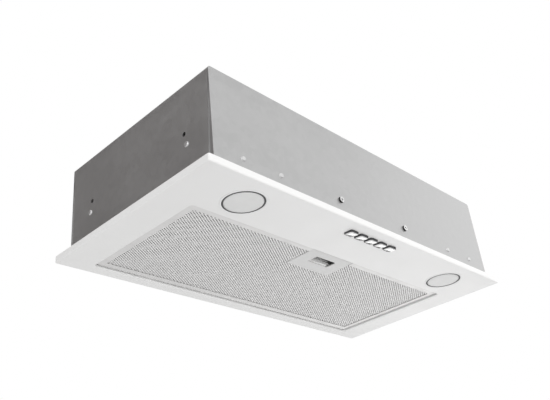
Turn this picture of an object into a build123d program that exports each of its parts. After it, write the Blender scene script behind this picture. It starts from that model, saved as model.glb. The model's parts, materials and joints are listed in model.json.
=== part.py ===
from build123d import *
import math
import os

os.makedirs("parts", exist_ok=True)

# Built-in range hood. Millimetres. X runs along the hood, -Y is its front, +Z is up.
# The origin is the centre of the cut-out in the cabinet's bottom board:
# the top edge of the panel's folded rim lies at Z = 0, and the casing stands above it.

# Trim panel
panel_width = 525.0
panel_depth = 264.0
panel_sheet = 1.0
panel_corner = 2.0
panel_bend = 1.6
rim_height = 8.0

# Filter opening in the panel
opening_side_border = 40.0
opening_depth = 174.0
opening_rear_border = 16.5
opening_corner = 4.0
opening_lip = 4.0
opening_bend = 1.2

# Casing
casing_height = 122.3
casing_side_inset = 14.25
casing_end_inset = 8.7
casing_sheet = 0.8
casing_bend = 3.0
seam_flange = 4.5
edge_slant = 7.0
wall_flange = 10.0
wall_flange_gap = 0.4

# Fastenings in the casing walls
side_hole_offset = 82.0
side_hole_z = 53.5
side_hole_radius = 2.5
side_rivet_offset = 85.0
side_rivet_z = 40.0
screw_plate = (24.0, 36.0, 1.5)
rivet_radius = 1.6
rivet_head_radius = 3.2
rivet_head_height = 1.2
rivet_taper = 35.0
rivet_tail_radius = 2.4
rivet_tail_height = 1.0
front_rivet_offset = 26.5
front_rivet_z = 18.0
front_screw_offset = 60.6
front_screw_z = 21.0
hole_clearance = 0.1

# Lamps
lamp_side_inset = 79.5
lamp_front_inset = 39.5
lamp_opening_radius = 22.4
lamp_ring_wall = 0.8
lamp_flange_width = 2.6
lamp_flange_height = 1.0
lamp_flange_round = 0.8
lamp_recess = 0.6
lamp_ledge = 0.8
lens_thickness = 2.0
lamp_can_height = 15.0
lamp_can_wall = 0.8
lamp_can_flange = 0.9
lamp_fit = 0.2
board_thickness = 1.6
board_gap = 3.0
board_radius = 20.0
board_boss_radius = 8.0
chip_count = 6
chip_circle = 12.0
chip_size = 3.5
chip_height = 0.8
lamp_bracket_sheet = 1.0
lamp_bracket_half = (32.0, 22.0)
lamp_bracket_margin = 9.0

# Push keys and their switch
key_count = 5
key_pitch = 17.8
key_size = (14.0, 12.0)
key_corner = 2.6
key_rise = 3.0
key_travel = 3.0
key_front_inset = 20.0
key_cap_height = 4.6
key_edge = 1.2
key_gap = 0.3
stem_size = (8.0, 6.0)
stem_gap = 0.2
head_size = (10.4, 6.0)
head_height = 3.0
head_gap = 0.3
switch_end = 7.0
switch_depth = 15.0
pressed_key_spring = 9.7
switch_clear = 4.0
switch_floor = 2.0
switch_cover_height = 1.5
key_spring_radius = 2.2
key_spring_turns = 5
spring_wire_radius = 0.3
spring_end_gap = 0.05
switch_bracket_sheet = 1.0
switch_bracket_margin = 8.0
switch_screw_inset = 3.5
small_screw_radius = 1.25
small_screw_length = 8.0
small_screw_head_radius = 2.4
small_screw_head_height = 1.5

# Filter
filter_gap = 1.5
filter_height = 9.0
filter_recess = 2.4
filter_band = 8.5
filter_sheet = 0.8
filter_corner = 5.0
mesh_sheet = 0.8
mesh_clear = 0.3
mesh_gap_pitch = (26.2, 16.65)
mesh_strand = 2.5
core_sheet = 0.4
core_gap = 0.1
core_pitch = 20.0
core_slot_width = 6.0
core_slot_rows = 3
core_rib = 4.0
rear_tab = (20.0, 7.0, 1.2)
rear_tab_offset = 150.0
rear_tab_gap = 0.4

# Latch
latch_size = (72.0, 44.7)
latch_height = 8.2
latch_wall = 1.2
latch_edge = 0.6
finger_hole = (35.0, 15.4)
finger_hole_front = 12.0
finger_corner = 2.0
slide_sheet = 1.8
slide_width = 40.0
slide_clear = 0.2
slide_front_gap = 2.5
slide_window_gap = 2.0
pressed_latch_spring = 4.6
tab_length = 30.0
tab_depth = 2.6
tongue_width = 28.0
tongue_reach = 3.8
latch_travel = 5.0
latch_spring_radius = 1.9
latch_spring_wire = 0.25
latch_spring_turns = 5

# Fan
wheel_diameter = 150.0
wheel_height = 54.0
blade_depth = 13.0
blade_count = 40
blade_sheet = 1.0
blade_lean = 9.0
ring_sheet = 1.5
web_sheet = 2.0
web_drop = 44.0
web_clear = 9.0
hub_radius = 9.0
hub_height = 9.0
hub_rise = 1.0
nut_height = 4.0
nut_across_flats = 13.0
shaft_end = 1.5
shaft_top_gap = 0.4
shaft_chamfer = 0.5
wheel_gap = 7.0
wheel_floor_gap = 4.0
spiral_step = 8.0
tongue_lead = 3.0
tongue_web = 3.0
scroll_wall = 2.0
scroll_flange = 3.0
scroll_height = 68.0
scroll_split = 34.0
scroll_drop = 6.0
scroll_front_gap = 4.5
inlet_step = 6.0
inlet_flare = 4.0
inlet_depth = 6.0
inlet_lip = 3.0
inlet_bead = (0.8, 1.0, 1.8)
inlet_flange = (5.0, 1.5)
boss_radius = 5.0
boss_reach = 6.0
boss_drop = 3.0
boss_angles = (0, 90, 180, 270)

# Motor
shaft_radius = 4.0
bush_clearance = 0.05
bush_radius = 8.0
bush_height = 6.0
motor_eye_gap = 20.0
motor_wall = 1.0
motor_height = 37.0
stator_height = 20.0
stator_lift = 9.0
stator_inset = 17.0
rotor_gap = 0.6
winding_insets = (5.0, 13.0)
winding_rise = 5.0
motor_screw_grip = 4.5
motor_plate_margin = 6.0
motor_plate_sheet = 1.5
rubber_height = 3.0
rubber_radius = 4.5

# Duct collar and flaps
duct_radius = 60.0
collar_wall = 1.6
collar_height = 45.4
collar_flange_width = 13.0
collar_flange_sheet = 1.6
chamber_margin = 2.6
flap_lift = 12.0
flap_sheet = 1.2
flap_gap = 1.0
flap_hinge_gap = 3.5
flap_pin_radius = 1.5
flap_pin_clearance = 0.06
knuckle_radius = 2.9
knuckle_length = 18.0
knuckle_gap = 1.0
knuckle_outer = 38.0
pin_end_gap = 0.4
ledge_width = 3.0
ledge_height = 1.5
seat_gap = 0.3
seat_fit = 0.05

# Roof screws
screw_radius = 1.9
screw_head_radius = 3.8
screw_head_height = 2.0
screw_length = 5.6
screw_head_taper = 15.0
recess_reach = 1.2
recess_width = 0.8
collar_screw_circle = 67.0
collar_screw_angles = (45, 135, 225, 315)

# Control box
box_gap = 12.0
box_size = (130.0, 96.0, 42.0)
box_front = -70.0
box_wall = 2.0
box_lid = 2.0
box_screw_inset = 10.0
terminal_size = (36.0, 16.0, 14.0)
capacitor_radius = 14.0
capacitor_length = 48.0
capacitor_edge = 1.5
driver_size = (58.0, 30.0, 22.0)
driver_corner = 2.0
terminal_ways = 4
terminal_pitch = 8.0
terminal_screw_radius = 1.8
cover_rim = 4.0
grommet_place = (7.0, 30.0)
terminal_place = (-33.0, 27.0)
capacitor_place = (42.0, -2.0)
driver_place = (-18.0, -23.0)
grommet_bore = 4.2
grommet_neck = 7.0
grommet_flange = 10.0
grommet_height = 3.0
part_clearance = 0.3

# Wiring
lead_radius = 2.0
wide_bend = 20.0
close_bend = 10.0
tight_bend = 6.0
lead_hole_gap = 2.0
lead_wall_gap = 8.5
lead_drop = 24.5
lead_rise = 26.0
lead_places = (8.0, 24.0, 52.0)
lead_boss_gap = 18.0
lead_ring_gap = 3.5
motor_lead_run = 27.0

# Levels and places that follow from the sizes
underside = -rim_height
panel_top = underside + panel_sheet
casing_width = panel_width - 2 * casing_side_inset
casing_depth = panel_depth - 2 * casing_end_inset
casing_top = panel_top + casing_height
roof_inner = casing_top - casing_sheet
wall_x = casing_width / 2
wall_y = casing_depth / 2
inner_x = wall_x - casing_sheet
inner_y = wall_y - casing_sheet
opening_width = panel_width - 2 * opening_side_border
opening_rear = panel_depth / 2 - opening_rear_border
opening_front = opening_rear - opening_depth
opening_y = (opening_rear + opening_front) / 2
lip_top = underside + opening_lip
lamp_x = panel_width / 2 - lamp_side_inset
lamp_y = -panel_depth / 2 + lamp_front_inset
key_y = -panel_depth / 2 + key_front_inset
key_positions = [(i - (key_count - 1) / 2) * key_pitch for i in range(key_count)]
switch_size = ((key_count - 1) * key_pitch + head_size[0] + 2 * (stem_gap + switch_end), switch_depth)
sides = {"left": -1, "right": 1}


def finish(part, name, *joined):
    """Labels a finished piece and writes it under the same name, with any solids that are welded to it."""
    piece = part.part
    if joined:
        piece = Compound([solid for each in (part, *joined) for solid in each.part.solids()])
    piece.label = name
    export_step(piece, f"parts/{name}.step")


def slab(width, depth, low, high, centre=(0.0, 0.0), mode=Mode.ADD):
    """A straight block between two levels, centred on a point in plan."""
    with BuildSketch(Plane.XY.offset(low)) as plan:
        with Locations(centre):
            Rectangle(width, depth)
    extrude(plan.sketch, amount=high - low, mode=mode)


def disc(radius, low, high, centre=(0.0, 0.0), mode=Mode.ADD):
    """An upright round block between two levels."""
    with BuildSketch(Plane.XY.offset(low)) as plan:
        with Locations(centre):
            Circle(radius)
    extrude(plan.sketch, amount=high - low, mode=mode)


# Trim panel: one sheet, its edge folded up into a rim, with a rolled lip round the filter opening
with BuildPart() as trim_panel:
    with BuildSketch(Plane.XY.offset(underside)):
        RectangleRounded(panel_width, panel_depth, panel_corner)
    extrude(amount=rim_height)
    fillet(trim_panel.faces().sort_by(Axis.Z)[0].edges(), panel_bend)
    with BuildSketch(Plane.XY.offset(panel_top)):
        RectangleRounded(panel_width - 2 * panel_sheet, panel_depth - 2 * panel_sheet, panel_corner / 2)
    extrude(amount=rim_height, mode=Mode.SUBTRACT)
    with BuildSketch(Plane.XY.offset(panel_top)):
        with Locations((0, opening_y)):
            RectangleRounded(
                opening_width + 2 * panel_sheet,
                opening_depth + 2 * panel_sheet,
                opening_corner + panel_sheet,
            )
    extrude(amount=opening_lip - panel_sheet)
    with BuildSketch(Plane.XY.offset(underside)):
        with Locations((0, opening_y)):
            RectangleRounded(opening_width, opening_depth, opening_corner)
    extrude(amount=opening_lip, mode=Mode.SUBTRACT)
    under_face = trim_panel.faces().filter_by(Axis.Z).sort_by(Axis.Z)[0]
    fillet(under_face.inner_wires()[0].edges(), opening_bend)
    with BuildSketch(Plane.XY.offset(underside)):
        with Locations((-lamp_x, lamp_y), (lamp_x, lamp_y)):
            Circle(lamp_opening_radius + lamp_ring_wall + lamp_fit)
        with Locations(*[(x, key_y) for x in key_positions]):
            RectangleRounded(key_size[0] + 2 * key_gap, key_size[1] + 2 * key_gap, key_corner + key_gap)
    extrude(amount=panel_sheet, mode=Mode.SUBTRACT)
finish(trim_panel, "trim_panel")

# Fan layout: the scroll is three quarter arcs about the corners of a small square,
# each a step larger than the last, and it opens into a round chamber under the duct collar
first_radius = wheel_diameter / 2 + wheel_gap + spiral_step / 2
second_radius = first_radius + spiral_step
third_radius = second_radius + spiral_step
duct_bore = duct_radius - collar_wall
chamber_radius = duct_bore + chamber_margin
scroll_edge = scroll_wall + scroll_flange
first_y = -inner_y + scroll_front_gap + scroll_edge + first_radius
scroll_rear = first_y + spiral_step + third_radius
collar_y = scroll_rear - chamber_radius
arc_spacing = first_radius + chamber_radius + tongue_web
first_x = -math.sqrt(arc_spacing**2 - (collar_y - first_y) ** 2)
tongue_angle = math.degrees(math.asin((collar_y - first_y) / arc_spacing)) + tongue_lead
first_centre = (first_x, first_y)
second_centre = (first_x, first_y + spiral_step)
third_centre = (first_x + spiral_step, first_y + spiral_step)
wheel_centre = (first_x + spiral_step / 2, first_y + spiral_step / 2)
wheel_radius = wheel_diameter / 2
blade_inner = wheel_radius - blade_depth
inlet_radius = blade_inner - inlet_step
motor_radius = blade_inner - web_sheet - motor_eye_gap
stator_bore = motor_radius - stator_inset
winding_outer, winding_inner = [motor_radius - inset for inset in winding_insets]
boss_circle = motor_radius + boss_reach
motor_plate_radius = boss_circle + motor_plate_margin
collar_centre = (0.0, collar_y)
scroll_top = roof_inner - scroll_drop
scroll_floor = scroll_top - scroll_height
lid_inner = scroll_top - scroll_wall
wheel_low = scroll_floor + scroll_wall + wheel_floor_gap
wheel_high = wheel_low + wheel_height
boss_low = lid_inner - boss_drop
plate_high = boss_low - rubber_height
plate_low = plate_high - motor_plate_sheet
motor_low = plate_low - motor_height
boss_points = [
    (
        wheel_centre[0] + boss_circle * math.cos(math.radians(angle)),
        wheel_centre[1] + boss_circle * math.sin(math.radians(angle)),
    )
    for angle in boss_angles
]
collar_screw_points = [
    (
        collar_centre[0] + collar_screw_circle * math.cos(math.radians(angle)),
        collar_centre[1] + collar_screw_circle * math.sin(math.radians(angle)),
    )
    for angle in collar_screw_angles
]
box_start = chamber_radius + scroll_edge + box_gap
box_x = box_start + box_size[0] / 2
box_y = box_front + box_size[1] / 2
box_low = roof_inner - box_size[2]
box_screw_points = [
    (box_x + i * (box_size[0] / 2 - box_screw_inset), box_y + j * (box_size[1] / 2 - box_screw_inset))
    for i in (-1, 1)
    for j in (-1, 1)
]
grommet_centre = (box_x + grommet_place[0], box_y + grommet_place[1])
terminal_centre = (box_x + terminal_place[0], box_y + terminal_place[1])
capacitor_centre = (box_x + capacitor_place[0], box_y + capacitor_place[1])
driver_centre = (box_x + driver_place[0], box_y + driver_place[1])
motor_lead_hole = (wheel_centre[0] + boss_circle - lead_boss_gap, wheel_centre[1])
switch_screw_points = [(end * (switch_size[0] / 2 - switch_screw_inset), key_y) for end in (-1, 1)]

# Casing: two end walls, bent over at the top and welded to the roof along the bends. The end walls'
# upright edges slant back towards the panel and let a sliver of the front and rear walls' flanges show
with BuildPart() as casing:
    with BuildSketch(Plane.XZ) as shell_outline:
        with Locations((0, panel_top + casing_height / 2)):
            Rectangle(casing_width, casing_height)
        fillet(shell_outline.vertices().group_by(Axis.Y)[-1], casing_bend)
    extrude(amount=inner_y, both=True)
    with BuildSketch(Plane.XZ) as shell_hollow:
        with Locations((0, (panel_top + casing_sheet + roof_inner) / 2)):
            Rectangle(2 * inner_x, roof_inner - panel_top - casing_sheet)
        fillet(shell_hollow.vertices().group_by(Axis.Y)[-1], casing_bend - casing_sheet)
    extrude(amount=inner_y, both=True, mode=Mode.SUBTRACT)
    slab(2 * (inner_x - seam_flange), 2 * inner_y, panel_top, panel_top + casing_sheet, mode=Mode.SUBTRACT)
    with BuildSketch(Plane.YZ):
        for step in (-1, 1):
            with BuildLine():
                Polyline(
                    (step * inner_y, roof_inner - casing_bend),
                    (step * inner_y, panel_top),
                    (step * (inner_y - edge_slant), panel_top),
                    close=True,
                )
            make_face()
    extrude(amount=wall_x, both=True, mode=Mode.SUBTRACT)
    disc(duct_bore, roof_inner, casing_top, collar_centre, Mode.SUBTRACT)
    disc(grommet_neck + hole_clearance, roof_inner, casing_top, grommet_centre, Mode.SUBTRACT)
    with BuildSketch(Plane.XY.offset(roof_inner)):
        with Locations(*boss_points, *collar_screw_points, *box_screw_points):
            Circle(screw_radius + hole_clearance)
    extrude(amount=casing_sheet, mode=Mode.SUBTRACT)
    with BuildSketch(Plane.YZ):
        with Locations((-side_hole_offset, side_hole_z), (side_hole_offset, side_hole_z)):
            Circle(side_hole_radius)
        with Locations((-side_rivet_offset, side_rivet_z), (side_rivet_offset, side_rivet_z)):
            Circle(rivet_radius + hole_clearance)
    extrude(amount=wall_x, both=True, mode=Mode.SUBTRACT)

weld_x = wall_x - casing_bend
with BuildPart() as casing_roof:
    add(casing.part)
    slab(2 * weld_x, 2 * inner_y, roof_inner, casing_top, mode=Mode.INTERSECT)
finish(casing_roof, "casing_roof")

for end_name, end in sides.items():
    with BuildPart() as casing_end:
        add(casing.part)
        slab(2 * weld_x, 2 * inner_y, roof_inner, casing_top, mode=Mode.SUBTRACT)
        split(bisect_by=Plane.YZ, keep=Keep.TOP if end > 0 else Keep.BOTTOM)
    finish(casing_end, f"casing_end_{end_name}")


def flat_wall(side):
    """A flat wall across the casing's front (-1) or rear (1)."""
    outer_face = Plane.XZ.offset(wall_y - casing_sheet if side < 0 else -wall_y)
    with BuildSketch(outer_face) as outline:
        with Locations((0, panel_top + casing_height / 2)):
            Rectangle(casing_width, casing_height)
        fillet(outline.vertices().group_by(Axis.Y)[-1], casing_bend)
    extrude(outline.sketch, amount=casing_sheet)


def wall_flanges(side):
    """Strips welded on edge behind a flat wall, just inside the end walls, the roof and the panel."""
    flange_y = side * (inner_y - wall_flange / 2)
    flange_low = panel_top + casing_sheet + wall_flange_gap
    flange_high = roof_inner - casing_bend
    for end in sides.values():
        flange_x = end * (inner_x - casing_sheet / 2)
        slab(casing_sheet, wall_flange, flange_low, flange_high, (flange_x, flange_y))
    slab(2 * (inner_x - casing_bend), wall_flange, roof_inner - casing_sheet, roof_inner, (0, flange_y))
    seam_x = 2 * (inner_x - seam_flange - wall_flange_gap)
    seam_y = side * (inner_y - seam_flange / 2)
    slab(seam_x, seam_flange, panel_top, panel_top + casing_sheet, (0, seam_y))


front_rivet_points = [
    (end * lamp_x + step * front_rivet_offset, front_rivet_z) for end in sides.values() for step in (-1, 1)
]
front_screw_points = [(end * front_screw_offset, front_screw_z) for end in sides.values()]
sleeve_radius = lamp_opening_radius + lamp_ring_wall
can_inner = sleeve_radius + lamp_fit
can_outer = can_inner + lamp_can_wall
can_flange = can_outer + lamp_can_flange

# Front wall, with holes for the lamp brackets' rivets and the switch bracket's screws
with BuildPart() as front_wall:
    flat_wall(-1)
    with BuildSketch(Plane.XZ.offset(inner_y)):
        with Locations(*front_rivet_points):
            Circle(rivet_radius + hole_clearance)
        with Locations(*front_screw_points):
            Circle(screw_radius + hole_clearance)
    extrude(amount=casing_sheet, mode=Mode.SUBTRACT)

with BuildPart() as front_flanges:
    wall_flanges(-1)
    for end in sides.values():
        lamp_place = (end * lamp_x, lamp_y)
        disc(can_flange + part_clearance, panel_top, panel_top + casing_sheet, lamp_place, Mode.SUBTRACT)
finish(front_wall, "front_wall", front_flanges)

# Rear wall, plain
with BuildPart() as rear_wall:
    flat_wall(1)

with BuildPart() as rear_flanges:
    wall_flanges(1)
finish(rear_wall, "rear_wall", rear_flanges)

# Screw plates: four small plates riveted inside the end walls, behind the holes for the cabinet screws
plate_y = (side_hole_offset + side_rivet_offset) / 2
plate_z = (side_hole_z + side_rivet_z) / 2
with BuildPart() as screw_plates:
    for end in sides.values():
        for step in (-1, 1):
            slab(
                screw_plate[2],
                screw_plate[0],
                plate_z - screw_plate[1] / 2,
                plate_z + screw_plate[1] / 2,
                (end * (inner_x - screw_plate[2] / 2), step * plate_y),
            )
    with BuildSketch(Plane.YZ):
        with Locations((-side_hole_offset, side_hole_z), (side_hole_offset, side_hole_z)):
            Circle(side_hole_radius)
        with Locations((-side_rivet_offset, side_rivet_z), (side_rivet_offset, side_rivet_z)):
            Circle(rivet_radius + hole_clearance)
    extrude(amount=wall_x, both=True, mode=Mode.SUBTRACT)
finish(screw_plates, "screw_plates")


def rivets(planes, grip):
    """Rivets with domed heads on the given planes, through sheets of that total thickness."""
    with BuildSketch(*planes) as heads:
        Circle(rivet_head_radius)
    extrude(heads.sketch, amount=rivet_head_height, taper=rivet_taper)
    with BuildSketch(*planes) as shanks:
        Circle(rivet_radius)
    extrude(shanks.sketch, amount=-grip)
    with BuildSketch(*[plane.offset(-grip) for plane in planes]) as tails:
        Circle(rivet_tail_radius)
    extrude(tails.sketch, amount=-rivet_tail_height)


def screws(planes, length, radius, head_radius, head_height):
    """Cross-recessed pan-head screws whose heads stand on the given planes."""
    with BuildSketch(*planes) as heads:
        Circle(head_radius)
    extrude(heads.sketch, amount=head_height, taper=screw_head_taper)
    with BuildSketch(*planes) as shanks:
        Circle(radius)
    extrude(shanks.sketch, amount=-length)
    with BuildSketch(*[plane.offset(head_height) for plane in planes]) as crosses:
        Rectangle(head_radius * recess_reach, recess_width)
        Rectangle(recess_width, head_radius * recess_reach)
    extrude(crosses.sketch, amount=-head_height / 2, mode=Mode.SUBTRACT)


front_face = [Plane((x, -wall_y, z), x_dir=(1, 0, 0), z_dir=(0, -1, 0)) for x, z in front_rivet_points]
side_face = [
    Plane((end * wall_x, step * side_rivet_offset, side_rivet_z), x_dir=(0, end, 0), z_dir=(end, 0, 0))
    for end in sides.values()
    for step in (-1, 1)
]
with BuildPart() as casing_rivets:
    rivets(front_face, casing_sheet + lamp_bracket_sheet)
    rivets(side_face, casing_sheet + screw_plate[2])
finish(casing_rivets, "casing_rivets")

screw_face = [Plane((x, -wall_y, z), x_dir=(1, 0, 0), z_dir=(0, -1, 0)) for x, z in front_screw_points]
roof_face = [Plane((x, y, casing_top)) for x, y in boss_points + box_screw_points]
flange_face = [Plane((x, y, casing_top + collar_flange_sheet)) for x, y in collar_screw_points]
with BuildPart() as casing_screws:
    screws(
        screw_face + roof_face + flange_face,
        screw_length,
        screw_radius,
        screw_head_radius,
        screw_head_height,
    )
finish(casing_screws, "casing_screws")

# Lamps: ring, frosted lens, board with its light-emitting chips, can and bracket, one set at each end
lens_low = underside + lamp_recess
lens_high = lens_low + lens_thickness
sleeve_top = lens_high + lamp_ledge
can_top = panel_top + lamp_can_height
board_low = lens_high + board_gap
for end_name, end in sides.items():
    lamp_centre = (end * lamp_x, lamp_y)
    lamp_axis = Axis((lamp_centre[0], lamp_centre[1], 0), (0, 0, 1))
    lamp_plane = Plane((lamp_centre[0], lamp_centre[1], 0), x_dir=(1, 0, 0), z_dir=(0, -1, 0))

    with BuildPart() as lamp_ring:
        with BuildSketch(lamp_plane):
            with BuildLine():
                Polyline(
                    (lamp_opening_radius, underside - lamp_flange_height),
                    (lamp_opening_radius + lamp_flange_width, underside - lamp_flange_height),
                    (lamp_opening_radius + lamp_flange_width, underside),
                    (sleeve_radius, underside),
                    (sleeve_radius, sleeve_top),
                    (lamp_opening_radius, sleeve_top),
                    (lamp_opening_radius, lens_low),
                    (lamp_opening_radius - lamp_ledge, lens_low),
                    (lamp_opening_radius - lamp_ledge, lens_low - lamp_ledge),
                    (lamp_opening_radius, lens_low - lamp_ledge),
                    close=True,
                )
            make_face()
        revolve(axis=lamp_axis)
        flange_edge = lamp_ring.edges().group_by(Axis.Z)[0].sort_by(SortBy.RADIUS)[-1]
        fillet(flange_edge, lamp_flange_round)
    finish(lamp_ring, f"lamp_ring_{end_name}")

    with BuildPart() as lamp_lens:
        disc(lamp_opening_radius - lamp_fit, lens_low, lens_high, lamp_centre)
    finish(lamp_lens, f"lamp_lens_{end_name}")

    with BuildPart() as lamp_can:
        disc(can_outer, panel_top, can_top, lamp_centre)
        disc(can_flange, panel_top, panel_top + lamp_can_wall, lamp_centre)
        disc(can_inner, panel_top, can_top - lamp_can_wall, lamp_centre, Mode.SUBTRACT)
        disc(board_boss_radius, board_low + board_thickness, can_top - lamp_can_wall, lamp_centre)
    finish(lamp_can, f"lamp_can_{end_name}")

    with BuildPart() as lamp_bracket:
        slab(
            2 * lamp_bracket_half[0],
            lamp_bracket_sheet,
            can_top,
            front_rivet_z + lamp_bracket_margin,
            (lamp_centre[0], -inner_y + lamp_bracket_sheet / 2),
        )
        shelf_depth = lamp_y + lamp_bracket_half[1] + inner_y
        slab(
            2 * lamp_bracket_half[1],
            shelf_depth,
            can_top,
            can_top + lamp_bracket_sheet,
            (lamp_centre[0], -inner_y + shelf_depth / 2),
        )
        disc(lead_radius + lead_hole_gap, can_top, can_top + lamp_bracket_sheet, lamp_centre, Mode.SUBTRACT)
        with BuildSketch(Plane.XZ.offset(inner_y)):
            with Locations(*[p for p in front_rivet_points if p[0] * end > 0]):
                Circle(rivet_radius + hole_clearance)
        extrude(amount=-lamp_bracket_sheet, mode=Mode.SUBTRACT)
    finish(lamp_bracket, f"lamp_bracket_{end_name}")

with BuildPart() as lamp_boards:
    for end in sides.values():
        lamp_centre = (end * lamp_x, lamp_y)
        disc(board_radius, board_low, board_low + board_thickness, lamp_centre)
        with BuildSketch(Plane.XY.offset(board_low)):
            with Locations(lamp_centre):
                with PolarLocations(chip_circle, chip_count):
                    Rectangle(chip_size, chip_size)
        extrude(amount=-chip_height)
finish(lamp_boards, "lamp_boards")

# Push keys: a rounded cap below the panel, a stem and a wider head that keeps the key in the switch
switch_low = panel_top + switch_clear
switch_high = switch_low + switch_floor + head_gap + head_height + key_travel + pressed_key_spring
key_low = underside - key_rise
cap_top = key_low + key_cap_height
head_low = switch_low + switch_floor + head_gap
head_top = head_low + head_height
for number, x in enumerate(key_positions, start=1):
    with BuildPart() as button:
        with BuildSketch(Plane.XY.offset(key_low)):
            with Locations((x, key_y)):
                RectangleRounded(key_size[0], key_size[1], key_corner)
        extrude(amount=key_cap_height)
        fillet(button.faces().sort_by(Axis.Z)[0].edges(), key_edge)
        slab(stem_size[0], stem_size[1], cap_top, head_low, (x, key_y))
        slab(head_size[0], head_size[1], head_low, head_top, (x, key_y))
    finish(button, f"button_{number}")

# Switch body: a block with one stepped channel for each key, open on top
with BuildPart() as switch_body:
    slab(switch_size[0], switch_size[1], switch_low, switch_high, (0, key_y))
    with BuildSketch(Plane.XY.offset(switch_low)):
        with Locations(*[(x, key_y) for x in key_positions]):
            Rectangle(stem_size[0] + 2 * stem_gap, stem_size[1] + 2 * stem_gap)
    extrude(amount=switch_floor, mode=Mode.SUBTRACT)
    with BuildSketch(Plane.XY.offset(switch_low + switch_floor)):
        with Locations(*[(x, key_y) for x in key_positions]):
            Rectangle(head_size[0] + 2 * stem_gap, head_size[1] + 2 * stem_gap)
    extrude(amount=switch_high - switch_low - switch_floor, mode=Mode.SUBTRACT)
    with BuildSketch(Plane.XY.offset(switch_high)):
        with Locations(*switch_screw_points):
            Circle(small_screw_radius + hole_clearance)
    extrude(amount=-small_screw_length, mode=Mode.SUBTRACT)
finish(switch_body, "switch_body")

shelf_low = switch_high + switch_cover_height
shelf_high = shelf_low + switch_bracket_sheet
with BuildPart() as switch_cover:
    slab(switch_size[0], switch_size[1], switch_high, shelf_low, (0, key_y))
    with BuildSketch(Plane.XY.offset(switch_high)):
        with Locations(*switch_screw_points):
            Circle(small_screw_radius + hole_clearance)
    extrude(amount=switch_cover_height, mode=Mode.SUBTRACT)
finish(switch_cover, "switch_cover")

# Switch bracket: a shelf on the switch, folded up against the front wall
with BuildPart() as switch_bracket:
    bracket_depth = key_y + switch_size[1] / 2 + inner_y
    slab(
        2 * (front_screw_offset + switch_bracket_margin),
        switch_bracket_sheet,
        shelf_low,
        front_screw_z + switch_bracket_margin,
        (0, -inner_y + switch_bracket_sheet / 2),
    )
    slab(switch_size[0], bracket_depth, shelf_low, shelf_high, (0, -inner_y + bracket_depth / 2))
    with BuildSketch(Plane.XY.offset(shelf_low)):
        with Locations(*switch_screw_points):
            Circle(small_screw_radius + hole_clearance)
    extrude(amount=switch_bracket_sheet, mode=Mode.SUBTRACT)
    with BuildSketch(Plane.XZ.offset(inner_y)):
        with Locations(*front_screw_points):
            Circle(screw_radius + hole_clearance)
    extrude(amount=-switch_bracket_sheet, mode=Mode.SUBTRACT)
finish(switch_bracket, "switch_bracket")

with BuildPart() as switch_screws:
    screws(
        [Plane((x, y, shelf_high)) for x, y in switch_screw_points],
        small_screw_length,
        small_screw_radius,
        small_screw_head_radius,
        small_screw_head_height,
    )
finish(switch_screws, "switch_screws")

# Key springs: one coil over each key's head, under the switch cover
spring_room = switch_high - head_top - 2 * spring_wire_radius - 2 * spring_end_gap
with BuildPart() as button_springs:
    for x in key_positions:
        with BuildLine() as coil:
            Helix(
                pitch=spring_room / key_spring_turns,
                height=spring_room,
                radius=key_spring_radius,
                center=(x, key_y, head_top + spring_wire_radius + spring_end_gap),
            )
        with BuildSketch(Plane(origin=coil.line @ 0, z_dir=coil.line % 0)):
            Circle(spring_wire_radius)
        sweep(path=coil.line, is_frenet=True)
finish(button_springs, "button_springs")

# Filter: a folded channel frame that holds a front mesh, a corrugated core and a rear mesh
filter_low = underside + filter_recess
filter_high = filter_low + filter_height
filter_width = opening_width - 2 * filter_gap
filter_depth = opening_depth - 2 * filter_gap
filter_front = opening_front + filter_gap
filter_rear = opening_rear - filter_gap
tongue_low = lip_top + rear_tab_gap
latch_front = filter_front + filter_sheet + mesh_clear
latch_rear = latch_front + latch_size[1]
latch_y = (latch_front + latch_rear) / 2
latch_top = filter_low + latch_height
with BuildPart() as filter_frame:
    with BuildSketch(Plane.XY.offset(filter_low)):
        with Locations((0, opening_y)):
            RectangleRounded(filter_width, filter_depth, filter_corner)
    extrude(amount=filter_height)
    with BuildSketch(Plane.XY.offset(filter_low + filter_sheet)):
        with Locations((0, opening_y)):
            RectangleRounded(
                filter_width - 2 * filter_sheet,
                filter_depth - 2 * filter_sheet,
                filter_corner - filter_sheet,
            )
    extrude(amount=filter_height - 2 * filter_sheet, mode=Mode.SUBTRACT)
    slab(
        filter_width - 2 * filter_band,
        filter_depth - 2 * filter_band,
        filter_low,
        filter_high,
        (0, opening_y),
        Mode.SUBTRACT,
    )
    notch_depth = filter_band - filter_sheet
    notch_y = filter_front + filter_sheet + notch_depth / 2
    slab(
        latch_size[0] + 2 * mesh_clear,
        notch_depth,
        filter_low,
        filter_low + filter_sheet,
        (0, notch_y),
        Mode.SUBTRACT,
    )
    slab(
        tongue_width + 2 * slide_clear,
        filter_sheet,
        tongue_low - slide_clear,
        tongue_low + slide_sheet + slide_clear,
        (0, filter_front + filter_sheet / 2),
        Mode.SUBTRACT,
    )
    for end in sides.values():
        slab(
            rear_tab[0],
            rear_tab[1] + filter_sheet,
            tongue_low,
            tongue_low + rear_tab[2],
            (end * rear_tab_offset, filter_rear - filter_sheet + (rear_tab[1] + filter_sheet) / 2),
        )
finish(filter_frame, "filter_frame")

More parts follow.
